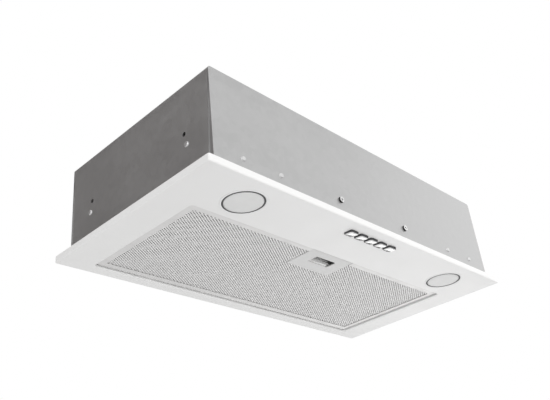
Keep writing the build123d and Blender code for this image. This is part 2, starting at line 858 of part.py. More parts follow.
pack_low = filter_low + filter_sheet
pack_high = filter_high - filter_sheet
mesh_width = filter_width - 2 * filter_sheet - 2 * mesh_clear
mesh_depth = filter_depth - 2 * filter_sheet - 2 * mesh_clear
cut_width = latch_size[0] + 2 * mesh_clear
cut_rear = latch_rear + mesh_clear
cut_front = filter_front - mesh_clear
cut_centre = (0, (cut_rear + cut_front) / 2)
gap_half = (mesh_gap_pitch[0] / 2, mesh_gap_pitch[1] / 2)
strand_spacing = 2 * gap_half[0] * gap_half[1] / math.hypot(*gap_half)
gap_share = 1 - mesh_strand / strand_spacing
gap_tips = (gap_half[0] * gap_share, gap_half[1] * gap_share)
open_half = (filter_width / 2 - filter_band, filter_depth / 2 - filter_band)
gap_columns = math.floor(open_half[0] / gap_half[0])
gap_rows = math.floor(open_half[1] / gap_half[1])


def gap_fits(x, y):
    """Whether a diamond gap at this point lies inside the frame's bands and clear of the latch."""
    inside = abs(x) + gap_tips[0] < open_half[0] and abs(y) + gap_tips[1] < open_half[1]
    beside_latch = abs(x) - gap_tips[0] > cut_width / 2 + mesh_strand
    behind_latch = opening_y + y - gap_tips[1] > cut_rear + mesh_strand
    return inside and (beside_latch or behind_latch)


mesh_gaps = [
    (i * gap_half[0], opening_y + j * gap_half[1])
    for i in range(-gap_columns, gap_columns + 1)
    for j in range(-gap_rows, gap_rows + 1)
    if (i + j) % 2 == 0 and gap_fits(i * gap_half[0], j * gap_half[1])
]
for mesh_name, mesh_low in (("filter_mesh_front", pack_low), ("filter_mesh_back", pack_high - mesh_sheet)):
    with BuildPart() as mesh:
        with BuildSketch(Plane.XY.offset(mesh_low)):
            with Locations((0, opening_y)):
                RectangleRounded(mesh_width, mesh_depth, filter_corner - filter_sheet)
            with Locations(cut_centre):
                Rectangle(cut_width, cut_rear - cut_front, mode=Mode.SUBTRACT)
            with Locations(*mesh_gaps):
                Polygon(
                    (gap_tips[0], 0),
                    (0, gap_tips[1]),
                    (-gap_tips[0], 0),
                    (0, -gap_tips[1]),
                    mode=Mode.SUBTRACT,
                )
        extrude(amount=mesh_sheet)
    finish(mesh, mesh_name)

# Filter core: a folded sheet that zigzags between the two meshes, with a row of slots along each slope
fold_count = 2 * math.floor((mesh_width - 2 * filter_corner) / core_pitch)
fold_step = (mesh_width - 2 * filter_corner) / fold_count
core_low = pack_low + mesh_sheet + core_gap
core_high = pack_high - mesh_sheet - core_gap - core_sheet
fold_points = [
    ((i - fold_count / 2) * fold_step, core_high if i % 2 else core_low) for i in range(fold_count + 1)
]
slot_pitch = mesh_depth / core_slot_rows
slot_rows = [opening_y + (j - (core_slot_rows - 1) / 2) * slot_pitch for j in range(core_slot_rows)]
core_slots = [
    (x + fold_step / 2, y)
    for x, _ in fold_points[:-1]
    for y in slot_rows
    if y - slot_pitch / 2 > cut_rear or abs(x + fold_step / 2) > cut_width / 2 + fold_step
]
with BuildPart() as filter_core:
    with BuildSketch(Plane.XZ.offset(-opening_y)):
        with BuildLine():
            Polyline(
                *fold_points,
                *[(x, z + core_sheet) for x, z in reversed(fold_points)],
                close=True,
            )
        make_face()
    extrude(amount=mesh_depth / 2, both=True)
    slab(cut_width, cut_rear - cut_front, pack_low, pack_high, cut_centre, Mode.SUBTRACT)
    with BuildSketch(Plane.XY.offset(pack_low)):
        with Locations(*core_slots):
            SlotOverall(slot_pitch - core_rib, core_slot_width, rotation=90)
    extrude(amount=filter_height, mode=Mode.SUBTRACT)
finish(filter_core, "filter_core")

# Latch plate: a flat housing let into the filter, with a hole for a finger and rails for the slide
finger_front = latch_front + finger_hole_front
finger_rear = finger_front + finger_hole[1]
rail_x = slide_width / 2 + slide_clear
with BuildPart() as latch_plate:
    slab(latch_size[0], latch_size[1], filter_low, latch_top, (0, latch_y))
    fillet(latch_plate.faces().sort_by(Axis.Z)[0].edges(), latch_edge)
    slab(
        latch_size[0] - 2 * latch_wall,
        latch_size[1] - 2 * latch_wall,
        filter_low + latch_wall,
        latch_top - latch_wall,
        (0, latch_y),
        Mode.SUBTRACT,
    )
    with BuildSketch(Plane.XY.offset(filter_low)):
        with Locations((0, (finger_front + finger_rear) / 2)):
            RectangleRounded(finger_hole[0], finger_hole[1], finger_corner)
    extrude(amount=latch_wall, mode=Mode.SUBTRACT)
    slab(
        tongue_width + 2 * slide_clear,
        latch_wall,
        tongue_low - slide_clear,
        tongue_low + slide_sheet + slide_clear,
        (0, latch_front + latch_wall / 2),
        Mode.SUBTRACT,
    )
    for end in sides.values():
        slab(
            latch_wall,
            latch_size[1] - 2 * latch_wall,
            filter_low + latch_wall,
            latch_top - latch_wall,
            (end * (rail_x + latch_wall / 2), latch_y),
        )
finish(latch_plate, "latch_plate")

# Latch slide: a frame round the finger space, with a tab for the fingertip and a tongue over the panel's lip
slide_low = tongue_low + slide_sheet
slide_high = slide_low + slide_sheet
slide_front = latch_front + latch_wall + slide_clear + slide_front_gap
slide_rear = latch_rear - latch_wall - latch_travel - pressed_latch_spring
tab_front = finger_rear - tab_depth
with BuildPart() as latch_slide:
    slab(slide_width, slide_rear - slide_front, slide_low, slide_high, (0, (slide_front + slide_rear) / 2))
    finger_window = tab_front - finger_front + slide_window_gap
    slab(
        finger_hole[0] + 2 * mesh_clear,
        finger_window,
        slide_low,
        slide_high,
        (0, tab_front - finger_window / 2),
        Mode.SUBTRACT,
    )
    tab_low = filter_low + latch_wall + slide_clear
    slab(tab_length, tab_depth, tab_low, slide_low, (0, tab_front + tab_depth / 2))
    tongue_tip = filter_front - tongue_reach
    tongue_end = tab_front - finger_window
    slab(tongue_width, tongue_end - tongue_tip, tongue_low, slide_low, (0, (tongue_tip + tongue_end) / 2))
    tongue_nose = latch_slide.edges().filter_by(Axis.X).group_by(Axis.Y)[0].sort_by(Axis.Z)[0]
    chamfer(tongue_nose, slide_sheet / 2)
finish(latch_slide, "latch_slide")

latch_spring_room = latch_rear - latch_wall - slide_rear - 2 * latch_spring_wire - 2 * spring_end_gap
with BuildPart() as latch_spring:
    with BuildLine() as coil:
        Helix(
            pitch=latch_spring_room / latch_spring_turns,
            height=latch_spring_room,
            radius=latch_spring_radius,
            center=(0, slide_rear + latch_spring_wire + spring_end_gap, (slide_low + slide_high) / 2),
            direction=(0, 1, 0),
        )
    with BuildSketch(Plane(origin=coil.line @ 0, z_dir=coil.line % 0)):
        Circle(latch_spring_wire)
    sweep(path=coil.line, is_frenet=True)
finish(latch_spring, "latch_spring")

scroll_seam = scroll_floor + scroll_split
wheel_axis = Axis((wheel_centre[0], wheel_centre[1], 0), (0, 0, 1))
wheel_plane = Plane((wheel_centre[0], wheel_centre[1], 0), x_dir=(1, 0, 0), z_dir=(0, -1, 0))


def scroll_block(margin, low, high, mode=Mode.ADD):
    """The scroll's air space in plan, widened by a margin and raised between two levels."""
    with BuildSketch(Plane.XY.offset(low)) as plan:
        with BuildLine():
            first_arc = CenterArc(first_centre, first_radius + margin, tongue_angle, -90 - tongue_angle)
            CenterArc(second_centre, second_radius + margin, -90, -90)
            third_arc = CenterArc(third_centre, third_radius + margin, 180, -90)
            Line(third_arc @ 1, (collar_centre[0], scroll_rear + margin))
            Line((collar_centre[0], scroll_rear + margin), collar_centre)
            Line(collar_centre, first_arc @ 0)
        make_face()
        with Locations(collar_centre):
            Circle(chamber_radius + margin)
    extrude(plan.sketch, amount=high - low, mode=mode)


# Lower half of the scroll: floor and half of the walls
with BuildPart() as scroll_lower:
    scroll_block(scroll_wall, scroll_floor, scroll_seam)
    scroll_block(scroll_edge, scroll_seam - scroll_wall, scroll_seam)
    scroll_block(0, scroll_floor + scroll_wall, scroll_seam, Mode.SUBTRACT)
    disc(inlet_radius + scroll_wall, scroll_floor, scroll_floor + scroll_wall, wheel_centre, Mode.SUBTRACT)
finish(scroll_lower, "scroll_lower")

# Inlet mouth: a flared ring snapped into the scroll's floor, its flange below and its bead above
mouth_outer = inlet_radius + scroll_wall
floor_top = scroll_floor + scroll_wall
flare_slope = inlet_flare / inlet_depth
with BuildPart() as inlet_mouth:
    with BuildSketch(wheel_plane):
        with BuildLine():
            Polyline(
                (inlet_radius, floor_top + inlet_lip),
                (inlet_radius, scroll_floor),
                (inlet_radius + inlet_flare, scroll_floor - inlet_depth),
                (mouth_outer + inlet_flare, scroll_floor - inlet_depth),
                (mouth_outer + flare_slope * inlet_flange[1], scroll_floor - inlet_flange[1]),
                (mouth_outer + inlet_flange[0], scroll_floor - inlet_flange[1]),
                (mouth_outer + inlet_flange[0], scroll_floor),
                (mouth_outer, scroll_floor),
                (mouth_outer, floor_top),
                (mouth_outer + inlet_bead[0], floor_top),
                (mouth_outer + inlet_bead[0], floor_top + inlet_bead[1]),
                (mouth_outer, floor_top + inlet_bead[2]),
                (mouth_outer, floor_top + inlet_lip),
                close=True,
            )
        make_face()
    revolve(axis=wheel_axis)
finish(inlet_mouth, "inlet_mouth")

# Upper half of the scroll: lid, half of the walls, the ring to the duct and the bosses for roof and motor
with BuildPart() as scroll_upper:
    scroll_block(scroll_wall, scroll_seam, scroll_top)
    scroll_block(scroll_edge, scroll_seam, scroll_seam + scroll_wall)
    scroll_block(0, scroll_seam, lid_inner, Mode.SUBTRACT)
    disc(duct_bore + scroll_wall, scroll_top, roof_inner, collar_centre)
    disc(duct_bore, lid_inner, roof_inner, collar_centre, Mode.SUBTRACT)
    with BuildSketch(Plane.XY.offset(scroll_top)):
        with Locations(*boss_points):
            Circle(boss_radius)
    extrude(amount=scroll_drop)
    with BuildSketch(Plane.XY.offset(boss_low)):
        with Locations(*boss_points):
            Circle(boss_radius)
    extrude(amount=boss_drop)
    with BuildSketch(Plane.XY.offset(roof_inner)):
        with Locations(*boss_points):
            Circle(screw_radius + hole_clearance)
    extrude(amount=-screw_length + casing_sheet - hole_clearance, mode=Mode.SUBTRACT)
    with BuildSketch(Plane.XY.offset(boss_low)):
        with Locations(*boss_points):
            Circle(screw_radius + hole_clearance)
    extrude(amount=motor_screw_grip + hole_clearance, mode=Mode.SUBTRACT)
    disc(lead_radius + lead_hole_gap, lid_inner, scroll_top, motor_lead_hole, Mode.SUBTRACT)
finish(scroll_upper, "scroll_upper")

# Impeller: a ring of forward-curved blades on a dished web that reaches down round the motor
web_low = wheel_high - web_drop
hub_low = web_low + web_sheet + hub_rise - hub_height
web_foot = motor_radius + web_clear
with BuildPart() as impeller:
    with BuildSketch(wheel_plane):
        with BuildLine():
            Polyline(
                (shaft_radius, hub_low),
                (hub_radius, hub_low),
                (hub_radius, web_low),
                (web_foot + web_sheet, web_low),
                (blade_inner, wheel_high - ring_sheet),
                (wheel_radius, wheel_high - ring_sheet),
                (wheel_radius, wheel_high),
                (blade_inner - web_sheet, wheel_high),
                (web_foot, web_low + web_sheet),
                (hub_radius, web_low + web_sheet),
                (hub_radius, web_low + web_sheet + hub_rise),
                (shaft_radius, web_low + web_sheet + hub_rise),
                close=True,
            )
        make_face()
        with Locations(((blade_inner + wheel_radius) / 2, wheel_low + ring_sheet / 2)):
            Rectangle(blade_depth, ring_sheet)
    revolve(axis=wheel_axis)
    with BuildSketch(Plane.XY.offset(wheel_low + ring_sheet)):
        with BuildLine(mode=Mode.PRIVATE) as blade_line:
            blade_start = Vector(blade_inner + blade_sheet / 2, 0)
            blade_end = Vector(wheel_radius - blade_sheet / 2, 0).rotate(Axis.Z, blade_lean)
            RadiusArc(blade_start, blade_end, blade_depth)
        with BuildSketch(mode=Mode.PRIVATE) as blade_section:
            trace(blade_line.line, line_width=blade_sheet)
        with Locations(wheel_centre):
            with PolarLocations(0, blade_count):
                add(blade_section.sketch)
    extrude(amount=wheel_height - 2 * ring_sheet)
finish(impeller, "impeller")

# Rotor shaft, impeller nut and the motor's rotor turn with the impeller
shaft_low = hub_low - nut_height - shaft_end
with BuildPart() as rotor_shaft:
    disc(shaft_radius, shaft_low, plate_low - shaft_top_gap, wheel_centre)
    chamfer(rotor_shaft.faces().sort_by(Axis.Z)[0].edges(), shaft_chamfer)
finish(rotor_shaft, "rotor_shaft")

with BuildPart() as impeller_nut:
    with BuildSketch(Plane.XY.offset(hub_low - nut_height)):
        with Locations(wheel_centre):
            RegularPolygon(nut_across_flats / 2, 6, major_radius=False)
            Circle(shaft_radius, mode=Mode.SUBTRACT)
    extrude(amount=nut_height)
finish(impeller_nut, "impeller_nut")

stator_low = motor_low + stator_lift
with BuildPart() as motor_rotor:
    disc(stator_bore - rotor_gap, stator_low, stator_low + stator_height, wheel_centre)
    disc(shaft_radius, stator_low, stator_low + stator_height, wheel_centre, Mode.SUBTRACT)
finish(motor_rotor, "motor_rotor")

# Motor can: a cup hung under the motor plate
with BuildPart() as motor_can:
    disc(motor_radius, motor_low, plate_low, wheel_centre)
    disc(motor_radius - motor_wall, motor_low + motor_wall, plate_low, wheel_centre, Mode.SUBTRACT)
    disc(bush_radius + bush_clearance, motor_low, motor_low + motor_wall, wheel_centre, Mode.SUBTRACT)
finish(motor_can, "motor_can")

with BuildPart() as motor_bushes:
    for bush_low in (motor_low, plate_low - bush_height):
        disc(bush_radius, bush_low, bush_low + bush_height, wheel_centre)
        disc(shaft_radius + bush_clearance, bush_low, bush_low + bush_height, wheel_centre, Mode.SUBTRACT)
finish(motor_bushes, "motor_bushes")

# Stator: the laminated ring, with the ends of its windings above and below
with BuildPart() as motor_stator:
    disc(motor_radius - motor_wall - part_clearance, stator_low, stator_low + stator_height, wheel_centre)
    disc(winding_outer, stator_low - winding_rise, stator_low + stator_height + winding_rise, wheel_centre)
    disc(
        winding_inner,
        stator_low - winding_rise,
        stator_low + stator_height + winding_rise,
        wheel_centre,
        Mode.SUBTRACT,
    )
    disc(winding_inner, stator_low, stator_low + stator_height, wheel_centre)
    disc(stator_bore, stator_low, stator_low + stator_height, wheel_centre, Mode.SUBTRACT)
finish(motor_stator, "motor_stator")

with BuildPart() as motor_plate:
    disc(motor_plate_radius, plate_low, plate_high, wheel_centre)
    with BuildSketch(Plane.XY.offset(plate_low)):
        with Locations(*boss_points):
            Circle(screw_radius + hole_clearance)
    extrude(amount=motor_plate_sheet, mode=Mode.SUBTRACT)
finish(motor_plate, "motor_plate")

with BuildPart() as motor_rubbers:
    with BuildSketch(Plane.XY.offset(plate_high)):
        with Locations(*boss_points):
            Circle(rubber_radius)
            Circle(screw_radius + hole_clearance, mode=Mode.SUBTRACT)
    extrude(amount=rubber_height)
finish(motor_rubbers, "motor_rubbers")

motor_face = [Plane((x, y, plate_low), x_dir=(1, 0, 0), z_dir=(0, 0, -1)) for x, y in boss_points]
with BuildPart() as motor_screws:
    screws(
        motor_face,
        motor_plate_sheet + rubber_height + motor_screw_grip,
        screw_radius,
        screw_head_radius,
        screw_head_height,
    )
finish(motor_screws, "motor_screws")

# Duct collar: a flanged spigot, and the seat ring in it that the closed flaps rest on
collar_top = casing_top + collar_flange_sheet + collar_height
flap_z = casing_top + collar_flange_sheet + flap_lift
ledge_top = flap_z - flap_sheet / 2 - seat_gap
with BuildPart() as outlet_collar:
    disc(duct_radius + collar_flange_width, casing_top, casing_top + collar_flange_sheet, collar_centre)
    disc(duct_radius, casing_top, collar_top, collar_centre)
    disc(duct_bore, casing_top, collar_top, collar_centre, Mode.SUBTRACT)
    with BuildSketch(Plane.XY.offset(casing_top)):
        with Locations(*collar_screw_points):
            Circle(screw_radius + hole_clearance)
    extrude(amount=collar_flange_sheet, mode=Mode.SUBTRACT)
    with BuildSketch(Plane.YZ):
        with Locations((collar_centre[1], flap_z)):
            Circle(flap_pin_radius + flap_pin_clearance)
    extrude(amount=duct_radius, both=True, mode=Mode.SUBTRACT)
finish(outlet_collar, "outlet_collar")

with BuildPart() as flap_seat:
    disc(duct_bore - seat_fit, ledge_top - ledge_height, ledge_top, collar_centre)
    disc(duct_bore - ledge_width, ledge_top - ledge_height, ledge_top, collar_centre, Mode.SUBTRACT)
    with BuildSketch(Plane.YZ):
        with Locations((collar_centre[1], flap_z)):
            Circle(flap_pin_radius + seat_gap)
    extrude(amount=duct_radius, both=True, mode=Mode.SUBTRACT)
finish(flap_seat, "flap_seat")

with BuildPart() as flap_pin:
    with BuildSketch(Plane.YZ):
        with Locations((collar_centre[1], flap_z)):
            Circle(flap_pin_radius)
    extrude(amount=duct_radius - pin_end_gap, both=True)
finish(flap_pin, "flap_pin")

# Flaps: two half discs with knuckles on the shared pin
for flap_name, side in (("flap_front", -1), ("flap_rear", 1)):
    knuckles = [side * knuckle_outer, -side * (knuckle_length + knuckle_gap * 2) / 2]
    with BuildPart() as flap:
        with BuildSketch(Plane.XY.offset(flap_z - flap_sheet / 2)):
            with Locations(collar_centre):
                Circle(duct_bore - flap_gap)
            with Locations((0, collar_centre[1] - side * (duct_radius - flap_hinge_gap))):
                Rectangle(2 * duct_radius, 2 * duct_radius, mode=Mode.SUBTRACT)
            for x in knuckles:
                with Locations((x, collar_centre[1] + side * flap_hinge_gap / 2)):
                    Rectangle(knuckle_length, flap_hinge_gap)
        extrude(amount=flap_sheet)
        for x in knuckles:
            with BuildSketch(Plane.YZ.offset(x - knuckle_length / 2)):
                with Locations((collar_centre[1], flap_z)):
                    Circle(knuckle_radius)
            extrude(amount=knuckle_length)
        with BuildSketch(Plane.YZ):
            with Locations((collar_centre[1], flap_z)):
                Circle(flap_pin_radius + flap_pin_clearance)
        extrude(amount=duct_radius, both=True, mode=Mode.SUBTRACT)
    finish(flap, flap_name)

# Control box: a tray hung under the roof, its cover pressed on from below
cover_low = box_low - box_lid
box_roof = roof_inner - box_wall
with BuildPart() as control_box:
    slab(box_size[0], box_size[1], box_low, roof_inner, (box_x, box_y))
    slab(
        box_size[0] - 2 * box_wall,
        box_size[1] - 2 * box_wall,
        box_low,
        box_roof,
        (box_x, box_y),
        Mode.SUBTRACT,
    )
    disc(grommet_neck + hole_clearance, box_roof, roof_inner, grommet_centre, Mode.SUBTRACT)
    with BuildSketch(Plane.XY.offset(box_roof)):
        with Locations(*box_screw_points):
            Circle(screw_radius + hole_clearance)
    extrude(amount=box_wall, mode=Mode.SUBTRACT)
finish(control_box, "control_box")

with BuildPart() as control_cover:
    slab(box_size[0], box_size[1], cover_low, box_low, (box_x, box_y))
    cover_lip = 2 * (box_wall + part_clearance)
    slab(
        box_size[0] - cover_lip,
        box_size[1] - cover_lip,
        box_low,
        box_low + cover_rim,
        (box_x, box_y),
    )
    slab(
        box_size[0] - cover_lip - 2 * box_wall,
        box_size[1] - cover_lip - 2 * box_wall,
        box_low,
        box_low + cover_rim,
        (box_x, box_y),
        Mode.SUBTRACT,
    )
finish(control_cover, "control_cover")

# Inside the control box: terminal block, capacitor and lamp driver
with BuildPart() as terminal_block:
    slab(terminal_size[0], terminal_size[1], box_roof - terminal_size[2], box_roof, terminal_centre)
    with BuildSketch(Plane.XY.offset(box_roof - terminal_size[2])):
        with Locations(terminal_centre):
            with GridLocations(terminal_pitch, 0, terminal_ways, 1):
                Circle(terminal_screw_radius)
    extrude(amount=terminal_size[2] / 2, mode=Mode.SUBTRACT)
finish(terminal_block, "terminal_block")

capacitor_z = box_roof - part_clearance - capacitor_radius
with BuildPart() as capacitor:
    with BuildSketch(Plane.XZ.offset(-capacitor_centre[1])):
        with Locations((capacitor_centre[0], capacitor_z)):
            Circle(capacitor_radius)
    extrude(amount=capacitor_length / 2, both=True)
    fillet(capacitor.edges().filter_by(GeomType.CIRCLE), capacitor_edge)
finish(capacitor, "capacitor")

with BuildPart() as lamp_driver:
    slab(driver_size[0], driver_size[1], box_roof - driver_size[2], box_roof, driver_centre)
    fillet(lamp_driver.edges().filter_by(Axis.Z), driver_corner)
finish(lamp_driver, "lamp_driver")

# Cable grommet: a rubber ring let into the roof and the box under it
with BuildPart() as cable_grommet:
    disc(grommet_flange, casing_top, casing_top + grommet_height, grommet_centre)
    fillet(cable_grommet.faces().sort_by(Axis.Z)[-1].edges(), grommet_height / 2)
    disc(grommet_neck, box_roof, casing_top, grommet_centre)
    disc(grommet_flange, box_roof - grommet_height, box_roof, grommet_centre)
    disc(grommet_bore, box_roof - grommet_height, casing_top + grommet_height, grommet_centre, Mode.SUBTRACT)
finish(cable_grommet, "cable_grommet")

# Wiring leads, each from the control box to what it feeds
lead_front = -inner_y + lead_wall_gap
lead_z = roof_inner - lead_drop
low_lead_z = can_top + lead_rise
left_lead_x, switch_lead_x, right_lead_x = [box_start + place for place in lead_places]
ring_front = collar_centre[1] - duct_bore - scroll_wall
motor_lead_y = min(wheel_centre[1] - motor_lead_run, ring_front - lead_ring_gap)
motor_lead_z = roof_inner - scroll_drop / 2
motor_route = [
    (box_start, motor_lead_y, motor_lead_z),
    (motor_lead_hole[0], motor_lead_y, motor_lead_z),
    (motor_lead_hole[0], motor_lead_hole[1], motor_lead_z),
    (motor_lead_hole[0], motor_lead_hole[1], plate_high),
]
switch_route = [
    (switch_lead_x, box_front, lead_z),
    (switch_lead_x, key_y, lead_z),
    (switch_lead_x, key_y, (switch_low + switch_high) / 2),
    (switch_size[0] / 2, key_y, (switch_low + switch_high) / 2),
]
lamp_routes = [
    [
        (start_x, box_front, lead_z),
        (start_x, lead_front, lead_z),
        (start_x, lead_front, low_lead_z),
        (end_x, lead_front, low_lead_z),
        (end_x, lamp_y, low_lead_z),
        (end_x, lamp_y, can_top),
    ]
    for start_x, end_x in ((left_lead_x, -lamp_x), (right_lead_x, lamp_x))
]
routes = [
    (motor_route, [wide_bend, tight_bend]),
    (switch_route, [wide_bend, wide_bend]),
    *[(route, [wide_bend, wide_bend, close_bend, close_bend]) for route in lamp_routes],
]
with BuildPart() as wiring_leads:
    for points, bends in routes:
        with BuildLine() as lead_line:
            FilletPolyline(*points, radius=bends)
        with BuildSketch(Plane(origin=lead_line.line @ 0, z_dir=lead_line.line % 0)):
            Circle(lead_radius)
        sweep(path=lead_line.line)
finish(wiring_leads, "wiring_leads")
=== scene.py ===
import json
import math

import bmesh
import bpy
from mathutils import Matrix, Vector, noise


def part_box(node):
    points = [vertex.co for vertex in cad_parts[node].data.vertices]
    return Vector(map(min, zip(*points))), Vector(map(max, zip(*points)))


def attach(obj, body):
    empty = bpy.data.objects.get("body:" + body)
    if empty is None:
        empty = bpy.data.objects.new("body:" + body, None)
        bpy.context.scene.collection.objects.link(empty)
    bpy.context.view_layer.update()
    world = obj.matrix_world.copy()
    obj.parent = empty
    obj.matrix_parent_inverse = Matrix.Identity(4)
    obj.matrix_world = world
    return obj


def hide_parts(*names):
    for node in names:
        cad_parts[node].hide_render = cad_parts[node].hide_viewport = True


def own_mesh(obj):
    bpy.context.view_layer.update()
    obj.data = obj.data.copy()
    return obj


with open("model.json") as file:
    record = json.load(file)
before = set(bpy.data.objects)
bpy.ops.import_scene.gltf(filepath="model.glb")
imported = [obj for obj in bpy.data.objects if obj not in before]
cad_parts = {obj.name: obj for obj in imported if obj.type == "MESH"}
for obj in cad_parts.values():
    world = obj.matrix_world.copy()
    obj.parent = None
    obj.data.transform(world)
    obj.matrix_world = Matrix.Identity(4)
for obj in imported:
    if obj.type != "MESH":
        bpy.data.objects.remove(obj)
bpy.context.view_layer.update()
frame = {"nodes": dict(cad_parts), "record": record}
nodes = frame["nodes"]
record = frame["record"]
MM = 0.001

# Camera at the photograph's angle, fitted to the straight edges that it shows
camera_place = (-0.6282, -0.5307, -0.3573)
camera_lens = 46.59
sensor_width = 36.0
view_axis = Vector((0.6524, 0.5804, 0.4873)).normalized()
down_axis = Vector((0.2872, 0.4057, -0.8677)).normalized()
right_axis = down_axis.cross(view_axis).normalized()
up_axis = right_axis.cross(view_axis).normalized()
camera_data = bpy.data.cameras.new("camera")
camera_data.lens = camera_lens
camera_data.sensor_width = sensor_width
camera = bpy.data.objects.new("camera", camera_data)
bpy.context.scene.collection.objects.link(camera)
camera_turn = Matrix((right_axis, up_axis, -view_axis)).transposed().to_4x4()
camera.matrix_world = Matrix.Translation(camera_place) @ camera_turn
bpy.context.scene.camera = camera

# The greys of a noise or cell pattern that a look is spread over
grey_start, grey_end = 0.3, 0.7


class Finish:
    """A procedural material built around one Principled shader, in the object's own coordinates."""

    def __init__(self, name, color, roughness, metallic=0.0):
        self.material = bpy.data.materials.new(name)
        self.material.use_nodes = True
        self.tree = self.material.node_tree
        self.shader = self.tree.nodes["Principled BSDF"]
        self.shader.inputs["Metallic"].default_value = metallic
        self.shader.inputs["Roughness"].default_value = roughness
        self.shader.inputs["Base Color"].default_value = (*color, 1.0)
        self.color = color
        self.roughness = roughness
        self.place = self.tree.nodes.new("ShaderNodeTexCoord").outputs["Object"]

    def add(self, kind, **inputs):
        """A new node with some of its inputs linked or set."""
        node = self.tree.nodes.new(kind)
        for key, value in inputs.items():
            key = key.replace("_", " ")
            if isinstance(value, bpy.types.NodeSocket):
                self.tree.links.new(value, node.inputs[key])
            else:
                node.inputs[key].default_value = value
        return node

    def stretched(self, scale):
        """Coordinates stretched by a factor on each axis."""
        return self.add("ShaderNodeMapping", Vector=self.place, Scale=scale).outputs["Vector"]

    def noise(self, scale, detail=3.0, stretch=None):
        """Grey noise with that many features to a metre."""
        place = self.stretched(stretch) if stretch else self.place
        return self.add("ShaderNodeTexNoise", Vector=place, Scale=scale, Detail=detail).outputs["Fac"]

    def axes(self):
        """X, Y and Z of the object's own coordinates, in metres."""
        return self.add("ShaderNodeSeparateXYZ", Vector=self.place).outputs

    def cells(self, scale):
        """A random grey for each cell of a cracked pattern."""
        node = self.add("ShaderNodeTexVoronoi", Vector=self.place, Scale=scale)
        grey = self.add("ShaderNodeSeparateColor", Color=node.outputs["Color"])
        return grey.outputs["Red"]

    def spread(self, value, low, high, start=grey_start, end=grey_end):
        """Maps a grey from start..end to low..high."""
        node = self.tree.nodes.new("ShaderNodeMapRange")
        self.tree.links.new(value, node.inputs["Value"])
        for key, number in (("From Min", start), ("From Max", end), ("To Min", low), ("To Max", high)):
            node.inputs[key].default_value = number
        return node.outputs["Result"]

    def math(self, operation, first, second):
        """One operation on two greys or numbers."""
        node = self.tree.nodes.new("ShaderNodeMath")
        node.operation = operation
        for i, value in enumerate((first, second)):
            if isinstance(value, bpy.types.NodeSocket):
                self.tree.links.new(value, node.inputs[i])
            else:
                node.inputs[i].default_value = value
        return node.outputs["Value"]

    def mottled(self, value, amount, scale, detail=3.0):
        """A grey with some noise on top."""
        return self.math("ADD", value, self.math("MULTIPLY", self.noise(scale, detail), amount))

    def tint(self, value, first, last, start=grey_start, end=grey_end):
        """Colours the surface from a first colour to a last one as a grey goes from start to end."""
        ramp = self.tree.nodes.new("ShaderNodeValToRGB")
        ramp.color_ramp.elements[0].color = (*first, 1.0)
        ramp.color_ramp.elements[1].color = (*last, 1.0)
        self.tree.links.new(self.spread(value, 0.0, 1.0, start, end), ramp.inputs["Fac"])
        self.tree.links.new(ramp.outputs["Color"], self.shader.inputs["Base Color"])

    def vary(self, value, amount):
        """Makes the colour a little darker and lighter than its own by a grey."""
        dark = [c * (1 - amount) for c in self.color]
        light = [min(1.0, c * (1 + amount)) for c in self.color]
        self.tint(value, dark, light)

    def polish(self, value, amount):
        """Makes the gloss a little shinier and duller by a grey."""
        rough = self.spread(value, self.roughness - amount, self.roughness + amount)
        self.tree.links.new(rough, self.shader.inputs["Roughness"])

    def bump(self, value, depth, strength):
        """Raises the surface by a grey, depth in metres."""
        node = self.tree.nodes.new("ShaderNodeBump")
        node.inputs["Strength"].default_value = strength
        node.inputs["Distance"].default_value = depth
        self.tree.links.new(value, node.inputs["Height"])
        self.tree.links.new(node.outputs["Normal"], self.shader.inputs["Normal"])

    def set(self, **inputs):
        """Sets constants on the shader's own sockets."""
        for key, value in inputs.items():
            self.shader.inputs[key.replace("_", " ")].default_value = value


finishes = {}


def finish(slot, color, roughness, metallic=0.0):
    """The finish of a material slot of the part."""
    finishes[slot] = Finish(slot, color, roughness, metallic)
    return finishes[slot]


# Powder coat: faint orange peel, slightly uneven tone and gloss
f = finish("panel_coat", (0.8, 0.797, 0.792), 0.36)
f.vary(f.noise(9.0, 4.0), 0.012)
f.polish(f.noise(26.0, 4.0), 0.05)
f.bump(f.noise(620.0, 2.0), 0.06 * MM, 0.35)

# Galvanised sheet: zinc crystals, rolling streaks and dull patches
f = finish("galvanised_steel", (0.455, 0.455, 0.455), 0.42, 1.0)
crystal = f.cells(150.0)
patch = f.noise(11.0, 5.0)
streak = f.noise(45.0, 4.0, (0.12, 0.12, 1.0))
blend = f.math("ADD", f.math("MULTIPLY", crystal, 0.18), f.math("MULTIPLY", patch, 0.5))
blend = f.math("ADD", blend, f.math("MULTIPLY", streak, 0.32))
f.vary(blend, 0.06)
f.polish(blend, 0.05)
f.bump(f.noise(900.0, 3.0), 0.02 * MM, 0.4)

f = finish("rivet_aluminium", (0.62, 0.62, 0.62), 0.45, 1.0)
f.vary(f.noise(700.0), 0.08)
f.polish(f.noise(1500.0), 0.08)

# Zinc screws: bright, with painted shade on the side of the head and in the recess of the two in the
# front wall
f = finish("zinc_screws", (0.7, 0.7, 0.695), 0.28, 1.0)
front_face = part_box("front_wall")[0].y
screw_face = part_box("casing_screws")[0].y
depth = f.axes()["Y"]
behind_face = f.spread(depth, 0.0, 1.0, screw_face + 0.1 * MM, screw_face + 0.6 * MM)
front_only = f.spread(depth, 1.0, 0.0, front_face + 1 * MM, front_face + 3 * MM)
# painted shade: the side of the head and the recess of the front-wall screws are darkened
painted_shading = f.mottled(f.math("MULTIPLY", behind_face, front_only), 0.12, 500.0)
f.tint(painted_shading, (0.76, 0.76, 0.755), (0.04, 0.04, 0.04), 0.0, 1.0)
f.polish(f.noise(1400.0), 0.08)

f = finish("lamp_ring_metal", (0.81, 0.81, 0.81), 0.5, 0.15)
f.vary(f.noise(60.0, 4.0), 0.03)
f.polish(f.noise(1800.0), 0.06)

